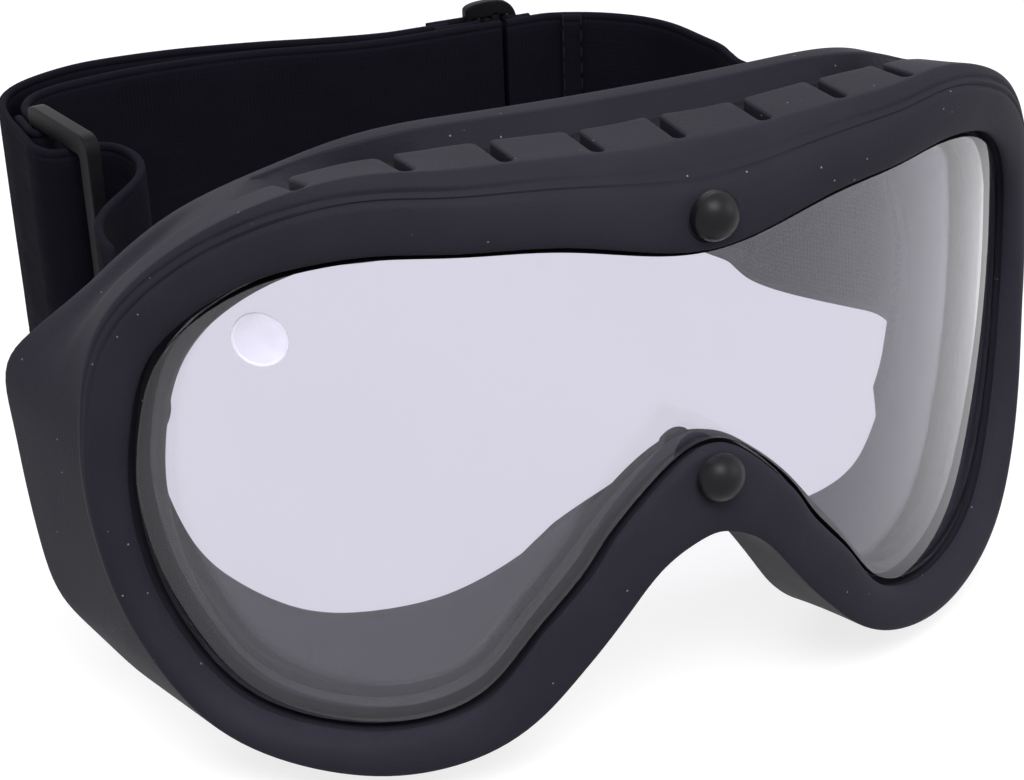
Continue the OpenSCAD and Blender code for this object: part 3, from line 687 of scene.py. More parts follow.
def evened(ring, sigma):  # a soft average along the closed ring
    total, out = 0, 0 * ring
    for k in range(-3 * sigma, 3 * sigma + 1):
        weight = math.exp(-0.5 * (k / sigma) ** 2)
        out, total = out + np.roll(ring, k, 0) * weight, total + weight
    return out / total


def wholeRing(rows):  # right half down, then its mirror image up
    flip = np.array([-1, 1, 1])[:rows.shape[-1]]
    return np.concatenate([rows, rows[-2:0:-1] * flip])


places = np.linspace(0, lastPlace, lastPlace * frameSizes["perPlace"] + 1)
sections, awayShare = frameSection(places)
noseShare = shareBetween(places, 11.8, 13.4)[:, None] * awayShare
noseShare = np.concatenate([noseShare, noseShare[-2:0:-1]])[:, :, None]
shellRing = evened(wholeRing(sections), 2)
shellRing += (evened(shellRing, 5) - shellRing) * noseShare
shell = loftPiece("frameShell", shellRing, rubber, closed=True)
shellTree = BVHTree.FromObject(shell, bpy.context.evaluated_depsgraph_get())


def roofHeight(x, y):
    hit = shellTree.ray_cast(Vector((x, y, 100)) * mm, Vector((0, 0, -1)))[0]
    return None if hit is None else hit.z / mm


# Roof vents: one comb-shaped cut, with rounded blocks between the slots
ventSizes = {"pitch": 13.5, "slot": 1.9, "slotEach": 4, "slotStart": 0.9,
             "slotCorner": 0.9, "blockLength": 9.9, "blockCorner": 1.3,
             "depth": 6.2, "rearWall": 3.6, "rearLean": 4.2, "end": 3.7,
             "corner": 1.2, "edge": 0.5, "flare": 0.8, "over": 6,
             "airHole": 8, "airInset": 2, "spacing": 2.2}
troughFloor = rearAt(np.array([0.0]))[0][2] - ventSizes["depth"]


def placeOf(x):
    lo, hi = 0.0, 4.0
    for _ in range(24):
        mid = (lo + hi) / 2
        lo, hi = (mid, hi) if rimAt(np.array([mid]))[0][0] < x else (lo, mid)
    return lo


def troughFront(x):
    p = rimAt(np.array([placeOf(abs(x))]))[0]
    return p[1] + ventSizes["blockLength"]


def ventPlan():
    size = ventSizes
    us = np.linspace(0, size["end"], 25)
    rear = rearAt(us)[:, :2] - [0, size["rearWall"]]
    xEnd, half = rimAt(us)[-1][0], size["slot"] / 2
    slots = [i * size["pitch"] for i in
             range(-size["slotEach"], size["slotEach"] + 1)]
    marks = sorted([(x, "slot") for x in slots] + [
        (x, "mid") for x in np.arange(-xEnd + 2, xEnd - 1, size["spacing"])
        if min(abs(x - s) for s in slots) > 3.4])
    plan = [(-xEnd, troughFront(xEnd), size["corner"])]
    for x, kind in marks:
        y = troughFront(x)
        start = y - size["blockLength"] + size["slotStart"]
        plan += [(x, y, 0)] if kind == "mid" else [
            (x - half, y, size["blockCorner"]),
            (x - half, start, size["slotCorner"]),
            (x + half, start, size["slotCorner"]),
            (x + half, y, size["blockCorner"])]
    plan += [(xEnd, troughFront(xEnd), size["corner"])]
    plan += [(x, y, 0) for x, y in rear[::-1]]
    plan = np.array(plan + [(-x, y, 0) for x, y in rear[1:]])
    return roundedLoop(plan[:, :2], plan[:, 2])


def flaredCutter(name, plan, lean, floor, heightOf):  # its top edge flares
    edge, flare, over = (ventSizes[k] for k in ("edge", "flare", "over"))
    after, before = np.roll(plan, -1, 0), np.roll(plan, 1, 0)
    tangent = after - before
    area = np.sum(plan[:, 0] * after[:, 1] - after[:, 0] * plan[:, 1])
    normal = np.stack([tangent[:, 1], -tangent[:, 0]], 1) * np.sign(area)
    normal /= np.linalg.norm(normal, axis=1)[:, None]
    base = [heightOf(*p) for p in plan]
    highest = max(b for b in base if b is not None)
    rows = [np.column_stack([plan - lean, np.full(len(plan), floor)])]
    steps = [(edge * (1 - math.cos(a)), edge * (math.sin(a) - 1))
             for a in np.radians([0, 20, 40, 58, 72])]
    steps.append((steps[-1][0] + 0.95 * flare, steps[-1][1] + 0.31 * flare))
    for offset, lift in steps:
        place = plan + normal * offset
        z = [next((h for h in (heightOf(*q), b, highest) if h is not None))
             for q, b in zip(place, base)]
        z = np.maximum(np.array(z) + lift, floor + 0.05 + 0.01 * len(rows))
        rows.append(np.column_stack([place, z]))
    rows.append(np.column_stack([place, np.full(len(plan), highest + over)]))
    return loftPiece(name, rows)


def cutWith(obj, cutter, name):
    change = obj.modifiers.new("cut", "BOOLEAN")
    change.operation, change.solver = "DIFFERENCE", "MANIFOLD"
    change.object = cutter
    done = plainMesh(obj, name)
    bpy.data.objects.remove(cutter)
    return done


ventShape = ventPlan()
behind = np.array([rearAt(np.array([placeOf(abs(p[0]))]))[0][1] - p[1]
                   for p in ventShape])
atRear = np.clip((ventSizes["rearWall"] + 1.5 - behind) / 1.5, 0, 1)
shell = cutWith(shell, flaredCutter(
    "ventCutter", ventShape, np.outer(atRear, [0, ventSizes["rearLean"]]),
    troughFloor, roofHeight), "frameShell")


def airHoles():
    size, half, parts = ventSizes, ventSizes["airHole"] / 2, []
    for i in np.arange(-size["slotEach"] + 0.5, size["slotEach"]):
        x = i * size["pitch"]
        rear = rearAt(np.array([placeOf(abs(x))]))[0][1] - size["rearWall"]
        y0, y1 = troughFront(x) + size["airInset"], rear - size["airInset"]
        plan = roundedLoop([(x - half, y0), (x + half, y0), (x + half, y1),
                            (x - half, y1)], size["corner"], 4)
        parts.append(loftPiece("airHole", [
            np.column_stack([plan, np.full(len(plan), z)])
            for z in (troughFloor - 7, troughFloor + 1)], rubber))
    return joinMeshes("airHoles", parts)


shell = cutWith(shell, airHoles(), "frameShell")

# Studs and their recesses; a place is a depth and a height
studSizes = {"places": ((-1.2, 36.2), (-3.3, -4.3)), "head": 7.5,
             "headHeight": 3.9, "seat": 1.2, "shank": 3.2, "cap": 6,
             "gap": 0.5, "tail": 1.7, "cutFront": -14, "cutBack": 9}


def latheRows(profile, centre, count=64):
    turn = np.linspace(0, 2 * math.pi, count, endpoint=False)
    return [[(centre[0] + r * math.cos(a), y, centre[1] + r * math.sin(a))
             for a in turn] for y, r in profile]


def studRecess(depth, height):
    r = studSizes["head"] / 2 + studSizes["gap"]
    hole, cap = studSizes["shank"] / 2 + 0.05, studSizes["cap"] / 2 + 0.15
    floorY, capY = depth + studSizes["seat"], lipBack + 0.15
    return loftPiece("recess", latheRows([
        (studSizes["cutFront"], r), (floorY - 0.3, r), (floorY, r - 0.3),
        (floorY, hole), (capY, hole), (capY, cap),
        (lipBack + studSizes["cutBack"], cap)], (0, height)), rubber)


shell = cutWith(shell, joinMeshes("recesses", [
    studRecess(*place) for place in studSizes["places"]]), "frameShell")
print("frame shell", len(shell.data.vertices), "points")

# Lugs that hold the strap's bars, inside the wings
anchorSizes = {"place": (78.15, 55.96, -11.5), "lean": 7.81, "width": 38,
               "bar": 3, "lug": 2.4, "lugPlan": ((-2.3, -2), (5.7, 1.8)),
               "lugCorner": 1.5}


def makeLugs():
    (x0, y0), (x1, y1) = anchorSizes["lugPlan"]
    corner = anchorSizes["lugCorner"]
    plan = roundedLoop([(x0, y0), (x1, y0), (x1, y1), (x0, y1)],
                       [corner, 0.2, 0.2, corner])
    away = anchorSizes["width"] / 2 + anchorSizes["lug"] / 2
    parts = []
    for side in (-1, 1):
        turn = Matrix.Scale(side, 4, (1, 0, 0)) @ Matrix.Translation(
            anchorSizes["place"]) @ Matrix.Rotation(
                math.radians(anchorSizes["lean"]), 4, "Y")
        for z in (-away, away):
            parts.append(loftPiece("lug", [
                [turn @ Vector((*(q * k), z + dz)) for q in plan]
                for k, dz in ((0.93, -1.0), (1, -0.8), (1, 0.8),
                              (0.93, 1.0))], rubber))
    return parts


shell = joinMeshes("frameShell", [shell, *makeLugs()])
finishPiece(shell, "frame", "rubber", "frame_shell")


# Lenses and gasket
lensSizes = {"seat": 3.55, "middle": (0, 14), "bevel": 0.25, "rings": 22,
             "gasketSeat": 3.4, "gasketThick": 2.85, "gasketGap": 0.075}


def shadeLensSides(mesh, material):  # the sheet's sides get a near-black finish: painted shade for the dark gap along the lens's edge
    mesh.materials.append(material)
    for face in mesh.polygons:
        x, y = face.center[0], face.center[1]
        back = Vector((-x, frameSizes["curveRadius"] * mm - y, 0)).normalized()
        if abs(face.normal.dot(back)) < 0.7:
            face.material_index = 1


def lensSheet(name, front, thick, material, step=0):  # closed, with a step
    r, rings = frameSizes["curveRadius"], lensSizes["rings"]
    middle = np.array(lensSizes["middle"], float)
    inner, outer = (pointAt(places, lensSizes["seat"], depth)[:, [0, 2]]
                    for depth in (front + thick, front))
    nearer = (np.linalg.norm(inner - middle, axis=1)
              < np.linalg.norm(outer - middle, axis=1))
    loop = wholeRing(np.where(nearer[:, None], inner, outer))
    shares = [1 - k / rings for k in range(rings)] + [0.02]
    bevel = lensSizes["bevel"]
    drawnIn = 1 - bevel / 40

    def onto(depth, q):
        y = r - np.sqrt((r - depth) ** 2 - q[:, 0] ** 2)
        return np.column_stack([q[:, 0], y, q[:, 1]])

    def layer(depth, share):
        return onto(depth, middle + (loop - middle) * share)

    def stepped(depth, inset):
        q = pointAt(places, -inset, depth)[:, [0, 2]]
        return onto(depth, evened(wholeRing(q), 3))
    if step:
        rim = stepped(front, 0.9)[:, [0, 2]]
        rows = [onto(front, middle + (rim - middle) * s)
                for s in shares[::-1]]
        rows += [stepped(front + 0.2, 0.78), stepped(front + step, 0.75),
                 layer(front + step, 1)]
    else:
        rows = [layer(front, s) for s in shares[:0:-1]]
        rows += [layer(front, drawnIn), layer(front + bevel, 1)]
    rows += [layer(front + thick - bevel, 1), layer(front + thick, drawnIn)]
    rows += [layer(front + thick, s) for s in shares[1:]]
    sheet = loftPiece(name, rows, material, angle=30)
    # the sides and the step turn near-black: painted shade
    shadeLensSides(sheet.data, lensSideShade)
    return sheet


outerDepth = gasketFront - frameSizes["lensFront"]
finishPiece(lensSheet("outerLens", frameSizes["lensFront"], outerDepth,
                      clearLens, frameSizes["lensStep"]),
            "frame", "clear_lens", "lens_outer")
finishPiece(lensSheet("innerLens", innerFront, frameSizes["innerLens"],
                      innerLens), "frame", "clear_lens", "lens_inner")


def gasketRing():
    front = gasketFront + lensSizes["gasketGap"]
    back = front + lensSizes["gasketThick"]
    outer, show = lensSizes["gasketSeat"], -rampAt(gasketShow, places)
    half = [(outer, 0), (0, 0), (show + 0.5, 0), (show + 0.15, 0.15),
            (show, 0.5)]
    loop = [(o, front + d) for o, d in half] + [(show, (front + back) / 2)]
    loop += [(o, back - d) for o, d in half[::-1]]
    rows = np.stack([pointAt(places, o, d) for o, d in loop], 1)
    return loftPiece("lensGasket", evened(wholeRing(rows), 4), gasketFinish,
                     closed=True, angle=50)


finishPiece(gasketRing(), "frame", "gasket", "lens_gasket")


# Breather disc: a thin milky membrane with a raised rim
breatherSizes = {"place": (-58.11, 20.02), "diameter": 8.4, "thick": 0.5,
                 "rim": 0.35, "proud": 0.12}


def breatherDisc():
    r, (x, z) = frameSizes["curveRadius"], breatherSizes["place"]
    half, proud = breatherSizes["diameter"] / 2, breatherSizes["proud"]
    thick, rim = breatherSizes["thick"], half - breatherSizes["rim"]
    profile = [(0, 0.1), (0, half - proud), (proud, half),
               (thick - 0.1, half), (thick, half - 0.1), (thick, rim),
               (thick - proud, rim - proud), (thick - proud, half * 0.5),
               (thick - proud, 0.1)]
    turn = (Matrix.Translation((0, r, z))
            @ Matrix.Rotation(math.asin(x / (r - innerFront)), 4, "Z")
            @ Matrix.Translation((0, innerFront - r - proud, 0)))
    rows = [[turn @ Vector((q[0], -q[1], q[2])) for q in row]
            for row in latheRows(profile, (0, 0), 72)]
    return loftPiece("breatherDisc", rows, breatherFinish, angle=30)


finishPiece(breatherDisc(), "frame", "breather", "breather_disc")


# Studs: one turned head, placed by a small node tree
def studPattern():
    half, seat = studSizes["head"] / 2, studSizes["seat"]
    dome, shank = studSizes["headHeight"] - seat, studSizes["shank"] / 2
    ball = (half * half + dome * dome) / (2 * dome)
    end = lipBack + studSizes["tail"]
    profile = [(-dome, 0.05)]
    for k in range(1, 22):
        a = math.asin(half / ball) * k / 22
        profile.append((-dome + ball * (1 - math.cos(a)), ball * math.sin(a)))
    profile += [(-0.02, half - 0.08), (0.18, half), (seat - 0.25, half),
                (seat, half - 0.25), (seat, shank), (end, shank), (end, 0.05)]
    return loftPiece("studPattern", latheRows(profile, (0, 0), 72),
                     studFinish, angle=35)


def closeTree(tree, geometry, finish, wanted):  # one real mesh, one finish
    real = addNode(tree, "GeometryNodeRealizeInstances",
                   {"Geometry": geometry})
    done = addNode(tree, "GeometryNodeSetMaterial", {
        "Geometry": real.outputs[0], "Material": finish})
    fillInputs(tree, wanted, {0: done.outputs[0]})
    return tree


def rivetTree():
    tree, given, wanted = makeGroup("rivetHeads", "GeometryNodeTree", [
        ("Places", "NodeSocketGeometry", None),
        ("Head", "NodeSocketObject", None), ("Head Size", floatKind, 1.0),
        ("Finish", "NodeSocketMaterial", None)],
        [("Rivets", "NodeSocketGeometry")])
    head = addNode(tree, "GeometryNodeObjectInfo", {"Object": given["Head"]})
    put = addNode(tree, "GeometryNodeInstanceOnPoints", {
        "Points": given["Places"], "Instance": head.outputs["Geometry"],
        "Scale": given["Head Size"]})
    return closeTree(tree, put.outputs[0], given["Finish"], wanted)


def runTree(name, points, edges, tree, settings, attributes=(), angle=40):
    base = makeMesh(name + "Base", points, [], edges=edges)
    for label, values in attributes:
        layer = base.data.attributes.new(label, "FLOAT", "POINT")
        layer.data.foreach_set("value", np.asarray(values, np.float32))
    change = base.modifiers.new(name, "NODES")
    change.node_group = tree
    sockets = {item.name: item.identifier for item in
               tree.interface.items_tree
               if item.item_type == "SOCKET" and item.in_out == "INPUT"}
    for label, value in settings.items():
        change[sockets[label]] = value
    return plainMesh(base, name, angle)


headPattern = studPattern()
headPattern.hide_render = True
studs = runTree("studs", [(0, *place) for place in studSizes["places"]], [],
                rivetTree(), {"Head": headPattern, "Head Size": 1.0,
                              "Finish": studFinish}, angle=35)
bpy.data.objects.remove(headPattern)
finishPiece(studs, "frame", "stud", "stud_top", "stud_bottom")
print("lenses and studs made")


# Padding: face cushion and roof filter
padSizes = {"cushion": 5, "seat": 0.4, "filter": 2.4, "filterEnd": 2.7,
            "filterGap": 0.3, "filterLift": 0.15}
cushionOut = [[0, 0.05], [4.4, 0.05], [5.5, 0.62], [8.5, 0.62],
              [9.2, 0.05], [15, 0.05]]
cushionIn = [[0, 0.72], [4.4, 0.72], [5.5, 0.93], [8.5, 0.93], [9.2, 0.72],
             [15, 0.72]]


def faceCushion():
    u = places
    a, b = flangeRoot(u), faceAt(u)
    q0, q1 = rampAt(cushionOut, u)[:, None], rampAt(cushionIn, u)[:, None]
    rise = alongY(0 * u + padSizes["seat"])
    p, s = a * (1 - q0) + b * q0 + rise, a * (1 - q1) + b * q1 + rise
    span = np.linalg.norm(s - p, axis=1)
    height = np.minimum(padSizes["cushion"], 0.9 * span)
    shape = [(0, 0), (0.02, 0.1), (0.045, 0.22), (0.035, 0.36),
             (0.012, 0.5), (0.0, 0.62), (0.03, 0.76), (0.1, 0.88),
             (0.22, 0.955), (0.36, 0.99), (0.5, 1.0), (0.64, 0.99),
             (0.78, 0.955), (0.9, 0.88), (0.97, 0.76), (1.0, 0.62),
             (0.988, 0.5), (0.965, 0.36), (0.955, 0.22), (0.98, 0.1),
             (1, 0), (0.75, 0), (0.5, 0), (0.25, 0)]
    rows = []
    for q, h in shape:
        ripple = np.array([noise.noise(Vector((x * 0.09, z * 0.09, h * 2)))
                           for x, z in zip(p[:, 0], p[:, 2])])
        lift = height * h * (1 + 0.06 * ripple)
        rows.append(p * (1 - q) + s * q + alongY(lift))
    return loftPiece("faceCushion", wholeRing(np.stack(rows, 1)),
                     cushionFoam, closed=True, angle=60)


cushion = finishPiece(faceCushion(), "frame", "foam", "face_cushion")


def roofFilter():
    us = np.linspace(0, padSizes["filterEnd"], 30)
    gap = padSizes["filterGap"]
    front = rimAt(us)[:, :2] + [0, ventSizes["blockLength"] + gap]
    rear = rearAt(us)[:, :2] - [0, ventSizes["rearWall"] + gap]
    right = np.stack([front, rear], 1)
    both = np.concatenate([right[::-1] * [-1, 1], right[1:]])
    rows = []
    low, thick = troughFloor + padSizes["filterLift"], padSizes["filter"]
    for i, (f, r) in enumerate(both):
        ends = min(i, len(both) - 1 - i)
        squeeze = min(1, 0.35 + 0.33 * ends)
        loop = []
        for q, h in ((0.02, 0), (0, 0.3), (0.02, 0.75), (0.1, 0.94),
                     (0.3, 1), (0.5, 1), (0.7, 1), (0.9, 0.94),
                     (0.98, 0.75), (1, 0.3), (0.98, 0), (0.5, 0)):
            p = f * (1 - q) + r * q
            bump = 0.06 * noise.noise(Vector((*(p * 0.4), h)))
            loop.append((*p, low + thick * (h * squeeze + bump * h)))
        rows.append(loop)
    return loftPiece("roofFilter", rows, filterFoam, angle=60)


roofPad = finishPiece(roofFilter(), "frame", "foam", "roof_filter")
print("padding made")


# Elastic strap
strapSizes = {"width": 45, "thick": 1.5, "bead": 1.25, "dip": 0.22,
              "ripple": 0.16, "step": 0.9}


def smoothPath(points, step):
    p = np.asarray(points, float)
    full = np.vstack([p[:1], p, p[-1:]])
    fine = []
    for i in range(len(p) - 1):
        a, b, c, d = full[i:i + 4]
        for q in np.linspace(0, 1, 12, endpoint=False):
            fine.append(0.5 * (2 * b + (c - a) * q + (
                2 * a - 5 * b + 4 * c - d) * q * q + (
                    3 * b - a - 3 * c + d) * q ** 3))
    fine = np.array(fine + [p[-1]])
    run = np.concatenate([[0], np.cumsum(np.linalg.norm(
        np.diff(fine[:, :2], axis=0), axis=1))])
    count = max(3, int(run[-1] / step) + 1)
    even = np.linspace(0, run[-1], count)
    return np.stack([np.interp(even, run, fine[:, k])
                     for k in range(p.shape[1])], 1), even


def bandSection():
    half, thick = strapSizes["width"] / 2, strapSizes["thick"] / 2
    bead, dip = strapSizes["bead"], strapSizes["dip"]
    side = [(half, 0.0), (half - 0.06, 0.5 * thick),
            (half - 0.25, 0.86 * thick), (half - 0.6, thick),
            (half - bead + 0.2, 0.95 * thick), (half - bead, thick - dip),
            (half - bead - 0.25, thick - dip),
            (half - bead - 0.6, 0.97 * thick), (half - 4, thick),
            (half - 9, thick), (half - 15, thick), (4, thick)]
    up = side + [(-v, t) for v, t in side[::-1]]
    loop = up + [(-v, -t) for v, t in up[1:-1]]
    points = [(t, v, 0) for v, t in loop]
    edges = [(i, (i + 1) % len(points)) for i in range(len(points))]
    section = makeMesh("bandSection", points, [], edges=edges)
    section.hide_render = True
    return section


def bandTree():
    tree, given, wanted = makeGroup("elasticBand", "GeometryNodeTree", [
        ("Path", "NodeSocketGeometry", None),
        ("Section", "NodeSocketObject", None),
        ("Ripple", floatKind, 0.0001),
        ("Cloth", "NodeSocketMaterial", None)],
        [("Band", "NodeSocketGeometry")])
    path = addNode(tree, "GeometryNodeMeshToCurve", {"Mesh": given["Path"]})
    upright = addNode(tree, "GeometryNodeSetCurveNormal",
                      {"Curve": path.outputs[0]}, mode="Z_UP")
    info = addNode(tree, "GeometryNodeObjectInfo",
                   {"Object": given["Section"]})
    section = addNode(tree, "GeometryNodeMeshToCurve",
                      {"Mesh": info.outputs["Geometry"]})
    sweep = addNode(tree, "GeometryNodeCurveToMesh", {
        "Curve": upright.outputs[0], "Profile Curve": section.outputs[0],
        "Fill Caps": True})

    def named(label):
        return addNode(tree, "GeometryNodeInputNamedAttribute",
                       {"Name": label}, data_type="FLOAT").outputs[
                           "Attribute"]
    place = addNode(tree, "GeometryNodeInputPosition").outputs[0]
    z = addNode(tree, "ShaderNodeSeparateXYZ", {"Vector": place}).outputs["Z"]
    flat = addNode(tree, "ShaderNodeCombineXYZ",
                   {"X": named("run"), "Y": z}).outputs[0]
    mapped = addNode(tree, "GeometryNodeStoreNamedAttribute", {
        "Geometry": sweep.outputs[0], "Name": "clothMap", "Value": flat},
        data_type="FLOAT2", domain="CORNER")
    ripple = addNoise(tree, flat, 55.0, 1.0)
    centred = addNode(tree, "ShaderNodeVectorMath", {
        0: ripple.outputs["Color"], 1: (0.5, 0.5, 0.5)},
        operation="SUBTRACT")
    scaled = addNode(tree, "ShaderNodeVectorMath", {
        0: centred.outputs[0], "Scale": given["Ripple"]}, operation="SCALE")
    sheared = addNode(tree, "ShaderNodeCombineXYZ", {
        "X": addMath(tree, "MULTIPLY", z, named("shear")),
        "Z": addMath(tree, "ADD", addMath(tree, "MULTIPLY", z,
                                          named("widen")), named("rise"))})
    offset = addNode(tree, "ShaderNodeVectorMath", {
        0: scaled.outputs[0], 1: sheared.outputs[0]}, operation="ADD")
    moved = addNode(tree, "GeometryNodeSetPosition", {
        "Geometry": mapped.outputs[0], "Offset": offset.outputs[0]})
    return closeTree(tree, moved.outputs[0], given["Cloth"], wanted)


bandNodes = bandTree()
bandShape = bandSection()


def makeBand(name, rows, ripple=strapSizes["ripple"]):
    plain = [0, strapSizes["width"], 0]  # what a short row leaves out
    rows = [list(r) + plain[len(r) - 2:] for r in rows]
    path, run = smoothPath(rows, strapSizes["step"])
    points = np.column_stack([path[:, :2], 0 * run])
    wide, lean = path[:, 3] / strapSizes["width"], np.radians(path[:, 4])
    band = runTree(name, points, [(i, i + 1) for i in range(len(points) - 1)],
                   bandNodes, {"Section": bandShape, "Ripple": ripple * mm,
                               "Cloth": elastic},
                   [("run", run * mm), ("shear", wide * np.sin(lean)),
                    ("widen", wide * np.cos(lean) - 1),
                    ("rise", path[:, 2] * mm)])
    return fixNormals(band, 50), run[-1]


# Each row is x and y, then the rise, the width and the lean where they differ
# from a plain band's
barX, barY, barZ = anchorSizes["place"]
around = anchorSizes["bar"] / 2 + strapSizes["thick"] / 2 + 0.15
wrap = [[barX + around * math.cos(a), barY + around * math.sin(a), barZ, 36,
         anchorSizes["lean"]] for a in map(math.radians,
                                           range(110, -131, -20))]
leftTail = [[75.2, 55.5, -11, 36, 8], [73.5, 57.3, -8.6, 37.5, 6],
            [71.6, 59.5, -4.4, 41.5, 4], [70, 61.4, -1.4, 44, 1.5],
            [69.1, 64, 0, 45, 0], [69, 67.5, 0, 45, 0],
            [68.6, 71.5, 0, 45, 0], [67.5, 75.8, 0, 45, 0]]
rightTail = [[75.3, 55.6, -11, 36, 8], [74.6, 57.8, -8.6, 37.5, 6],
             [74.6, 60.3, -4.4, 41.5, 1.5], [75, 62.4, -1.4, 44, -1],
             [75.6, 65, 0, 45, -2.5], [76, 68, 0, 45, -3.5],
             [75.3, 71.8, 0, 45, -4], [72.7, 76.5, 0, 45, -3.7],
             [69.7, 81.2, 0, 45, -4]]
outerX = -67.2
outerPath = [(-65.4, 80), (-62.4, 84.3), (-59, 88.4), (-55.6, 93.4),
             (-53.6, 99.2), (-53.4, 105.2), (-55, 110.2), (-58.4, 112.4),
             (-61.8, 111.7), (-64.6, 111.9), (outerX + 0.8, 114.2),
             (outerX, 117.6), (outerX, 121), (outerX, 127), (outerX, 133),
             (-66.2, 141.6), (-63, 148.6), (-57.2, 153.6), (-48.6, 157),
             (-39.5, 157.6), (-28, 156.5), (-15, 153.5), (-5, 150.1),
             (4, 147.4), (9, 146.3), (12.5, 145.9), (23.2, 145.9)]
innerPath = [(-63.4, 128.57), (-63.4, 135.4), (-62.4, 139.6),
             (-59.6, 143.8), (-53.9, 147), (-42, 149.2), (-30, 149.5),
             (-17, 148.2), (-7, 145.8), (1, 143.6), (7.5, 142.55),
             (12, 142.25), (16, 142.25), (33, 142.25)]
rightPath = [(34, 142.05), (38.5, 142.05), (43, 141.9), (48, 139.8),
             (53.6, 136), (58.6, 130), (61.3, 122.5),
             (63.2, 113, 0, 45, -2.5), (64.2, 107, 0, 45, -4),
             (63.5, 102, 0, 45, -4.5), (62.9, 96.5, 0, 45, -5),
             (64.2, 91, 0, 45, -5), (66.8, 86, 0, 45, -4.5)]
mirrored = [[-x, y, z, w, -lean] for x, y, z, w, lean in wrap + leftTail]
outerBand, outerRun = makeBand("strapOuter", mirrored + outerPath)
innerBand, innerRun = makeBand("strapInner", innerPath)
rightBand, rightRun = makeBand("strapRight", rightPath + (
    rightTail[::-1] + wrap[::-1]))


# The slides' sizes and places, which the strap's loops share
slideSizes = {"side": {"at": (-62, 115), "turn": -81, "length": 24,
                       "height": 53, "thick": 2.6, "corner": 3.4, "bar": 3.6,
                       "round": 2.2, "roundX": -10.2, "roundTall": 47,
                       "soft": 0.8, "loopTurn": -90, "loopLeg": 2.0,
                       "loopReach": 8.1, "loopShift": 0.2},
              "back": {"at": (32.4, 145.9), "turn": 0, "length": 11.2,
                       "height": 51.6, "thick": 2, "corner": 5.55, "bar": 1.5,
                       "round": 1.9, "roundX": -4.75, "roundTall": 46.6,
                       "soft": 0.6, "loopTurn": 0, "loopLeg": 1.85,
                       "loopReach": 8.05, "loopShift": 0, "middleX": -0.05,
                       "middleWide": 1.9, "middleThick": 2},
              "window": 45.3}
weaveSizes = {"top": 2.05, "beside": 1.05, "straight": 1.0, "end": 7.6}
sideSize, backSize = slideSizes["side"], slideSizes["back"]


def loopPath(size):  # leg, half circle round the slide's round bar, leg
    leg, reach, at = size["loopLeg"], size["loopReach"], size["at"]
    a, turn = math.radians(size["turn"]), math.radians(size["loopTurn"])
    x0 = at[0] + size["roundX"] * math.cos(a) + size["loopShift"]
    y0 = at[1] + size["roundX"] * math.sin(a)
    c, s = math.cos(turn), math.sin(turn)
    legs = [(-reach * k, leg) for k in (1, 0.6, 0.25)]
    bend = [(leg * math.sin(a), leg * math.cos(a))
            for a in map(math.radians, range(0, 181, 20))]
    return [(x0 + x * c - y * s, y0 + x * s + y * c) for x, y in
            legs + bend + [(x, -y) for x, y in legs[::-1]]]


def weavePath():  # up, over the middle bar and down behind the window
    (x, y), b, t = (backSize[k] for k in ("at", "middleX", "middleWide"))
    h, w, c = (weaveSizes[k] for k in ("top", "beside", "straight"))
    d, e = 0.71 * w, b + t + w
    return [(x + u, y + v) for u, v in (
        (b - w, -h - 0.2), (b - w, -0.6), (b - w, c), (b - d, c + d), (b, h),
        (b + t / 2, h), (b + t, h), (b + t + d, c + d), (e, c), (e + 0.15, 0),
        (e + 0.7, -1.2), (e + 1.5, 0.12 - h), (e + 2.4, -h),
        (weaveSizes["end"], -h))]


sideLoop, sideRun = makeBand("sideSlideLoop", loopPath(sideSize), 0.0)
backLoop, backRun = makeBand("backSlideLoop", loopPath(backSize), 0.0)
weave, weaveRun = makeBand("strapWeave", weavePath(), 0.0)

for band, *nodes in ((outerBand, "strap_end_left", "strap_outer_layer"),
                     (rightBand, "strap_end_right", "strap_right")):
    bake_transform(band)
    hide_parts(*nodes)
finishPiece(innerBand, "strap", "elastic", "strap_inner_layer")
finishPiece(sideLoop, "side_slide", "elastic", "side_slide_tab")
finishPiece(backLoop, "back_slide", "elastic", "back_slide_tab")
finishPiece(weave, "back_slide", "elastic", "strap_weave")


# Stitched seam across the strap beside the back slide
seamSizes = {"from": 45.7, "to": 49.6, "thick": 1, "gap": 0.3,
             "thread": 0.42, "stitch": 2.6, "pitch": 3.2, "reach": 21.5,
             "proud": 0.72}


def stitchTree():
    tree, given, wanted = makeGroup("stitchRow", "GeometryNodeTree", [
        ("Line", "NodeSocketGeometry", None), ("Pitch", floatKind, 0.0032),
        ("Stitch Length", floatKind, 0.0026), ("Thread", floatKind, 0.0004),
        ("Finish", "NodeSocketMaterial", None)],
        [("Stitches", "NodeSocketGeometry")])
    path = addNode(tree, "GeometryNodeMeshToCurve", {"Mesh": given["Line"]})
    spots = addNode(tree, "GeometryNodeCurveToPoints", {
        "Curve": path.outputs[0], "Length": given["Pitch"]}, mode="LENGTH")
    ball = addNode(tree, "GeometryNodeMeshUVSphere", {
        "Segments": 8, "Rings": 6, "Radius": 0.5})
    size = addNode(tree, "ShaderNodeCombineXYZ", {
        "X": given["Thread"], "Y": given["Thread"],
        "Z": given["Stitch Length"]})
    put = addNode(tree, "GeometryNodeInstanceOnPoints", {
        "Points": spots.outputs["Points"], "Instance": ball.outputs["Mesh"],
        "Rotation": spots.outputs["Rotation"], "Scale": size.outputs[0]})
    return closeTree(tree, put.outputs[0], given["Finish"], wanted)


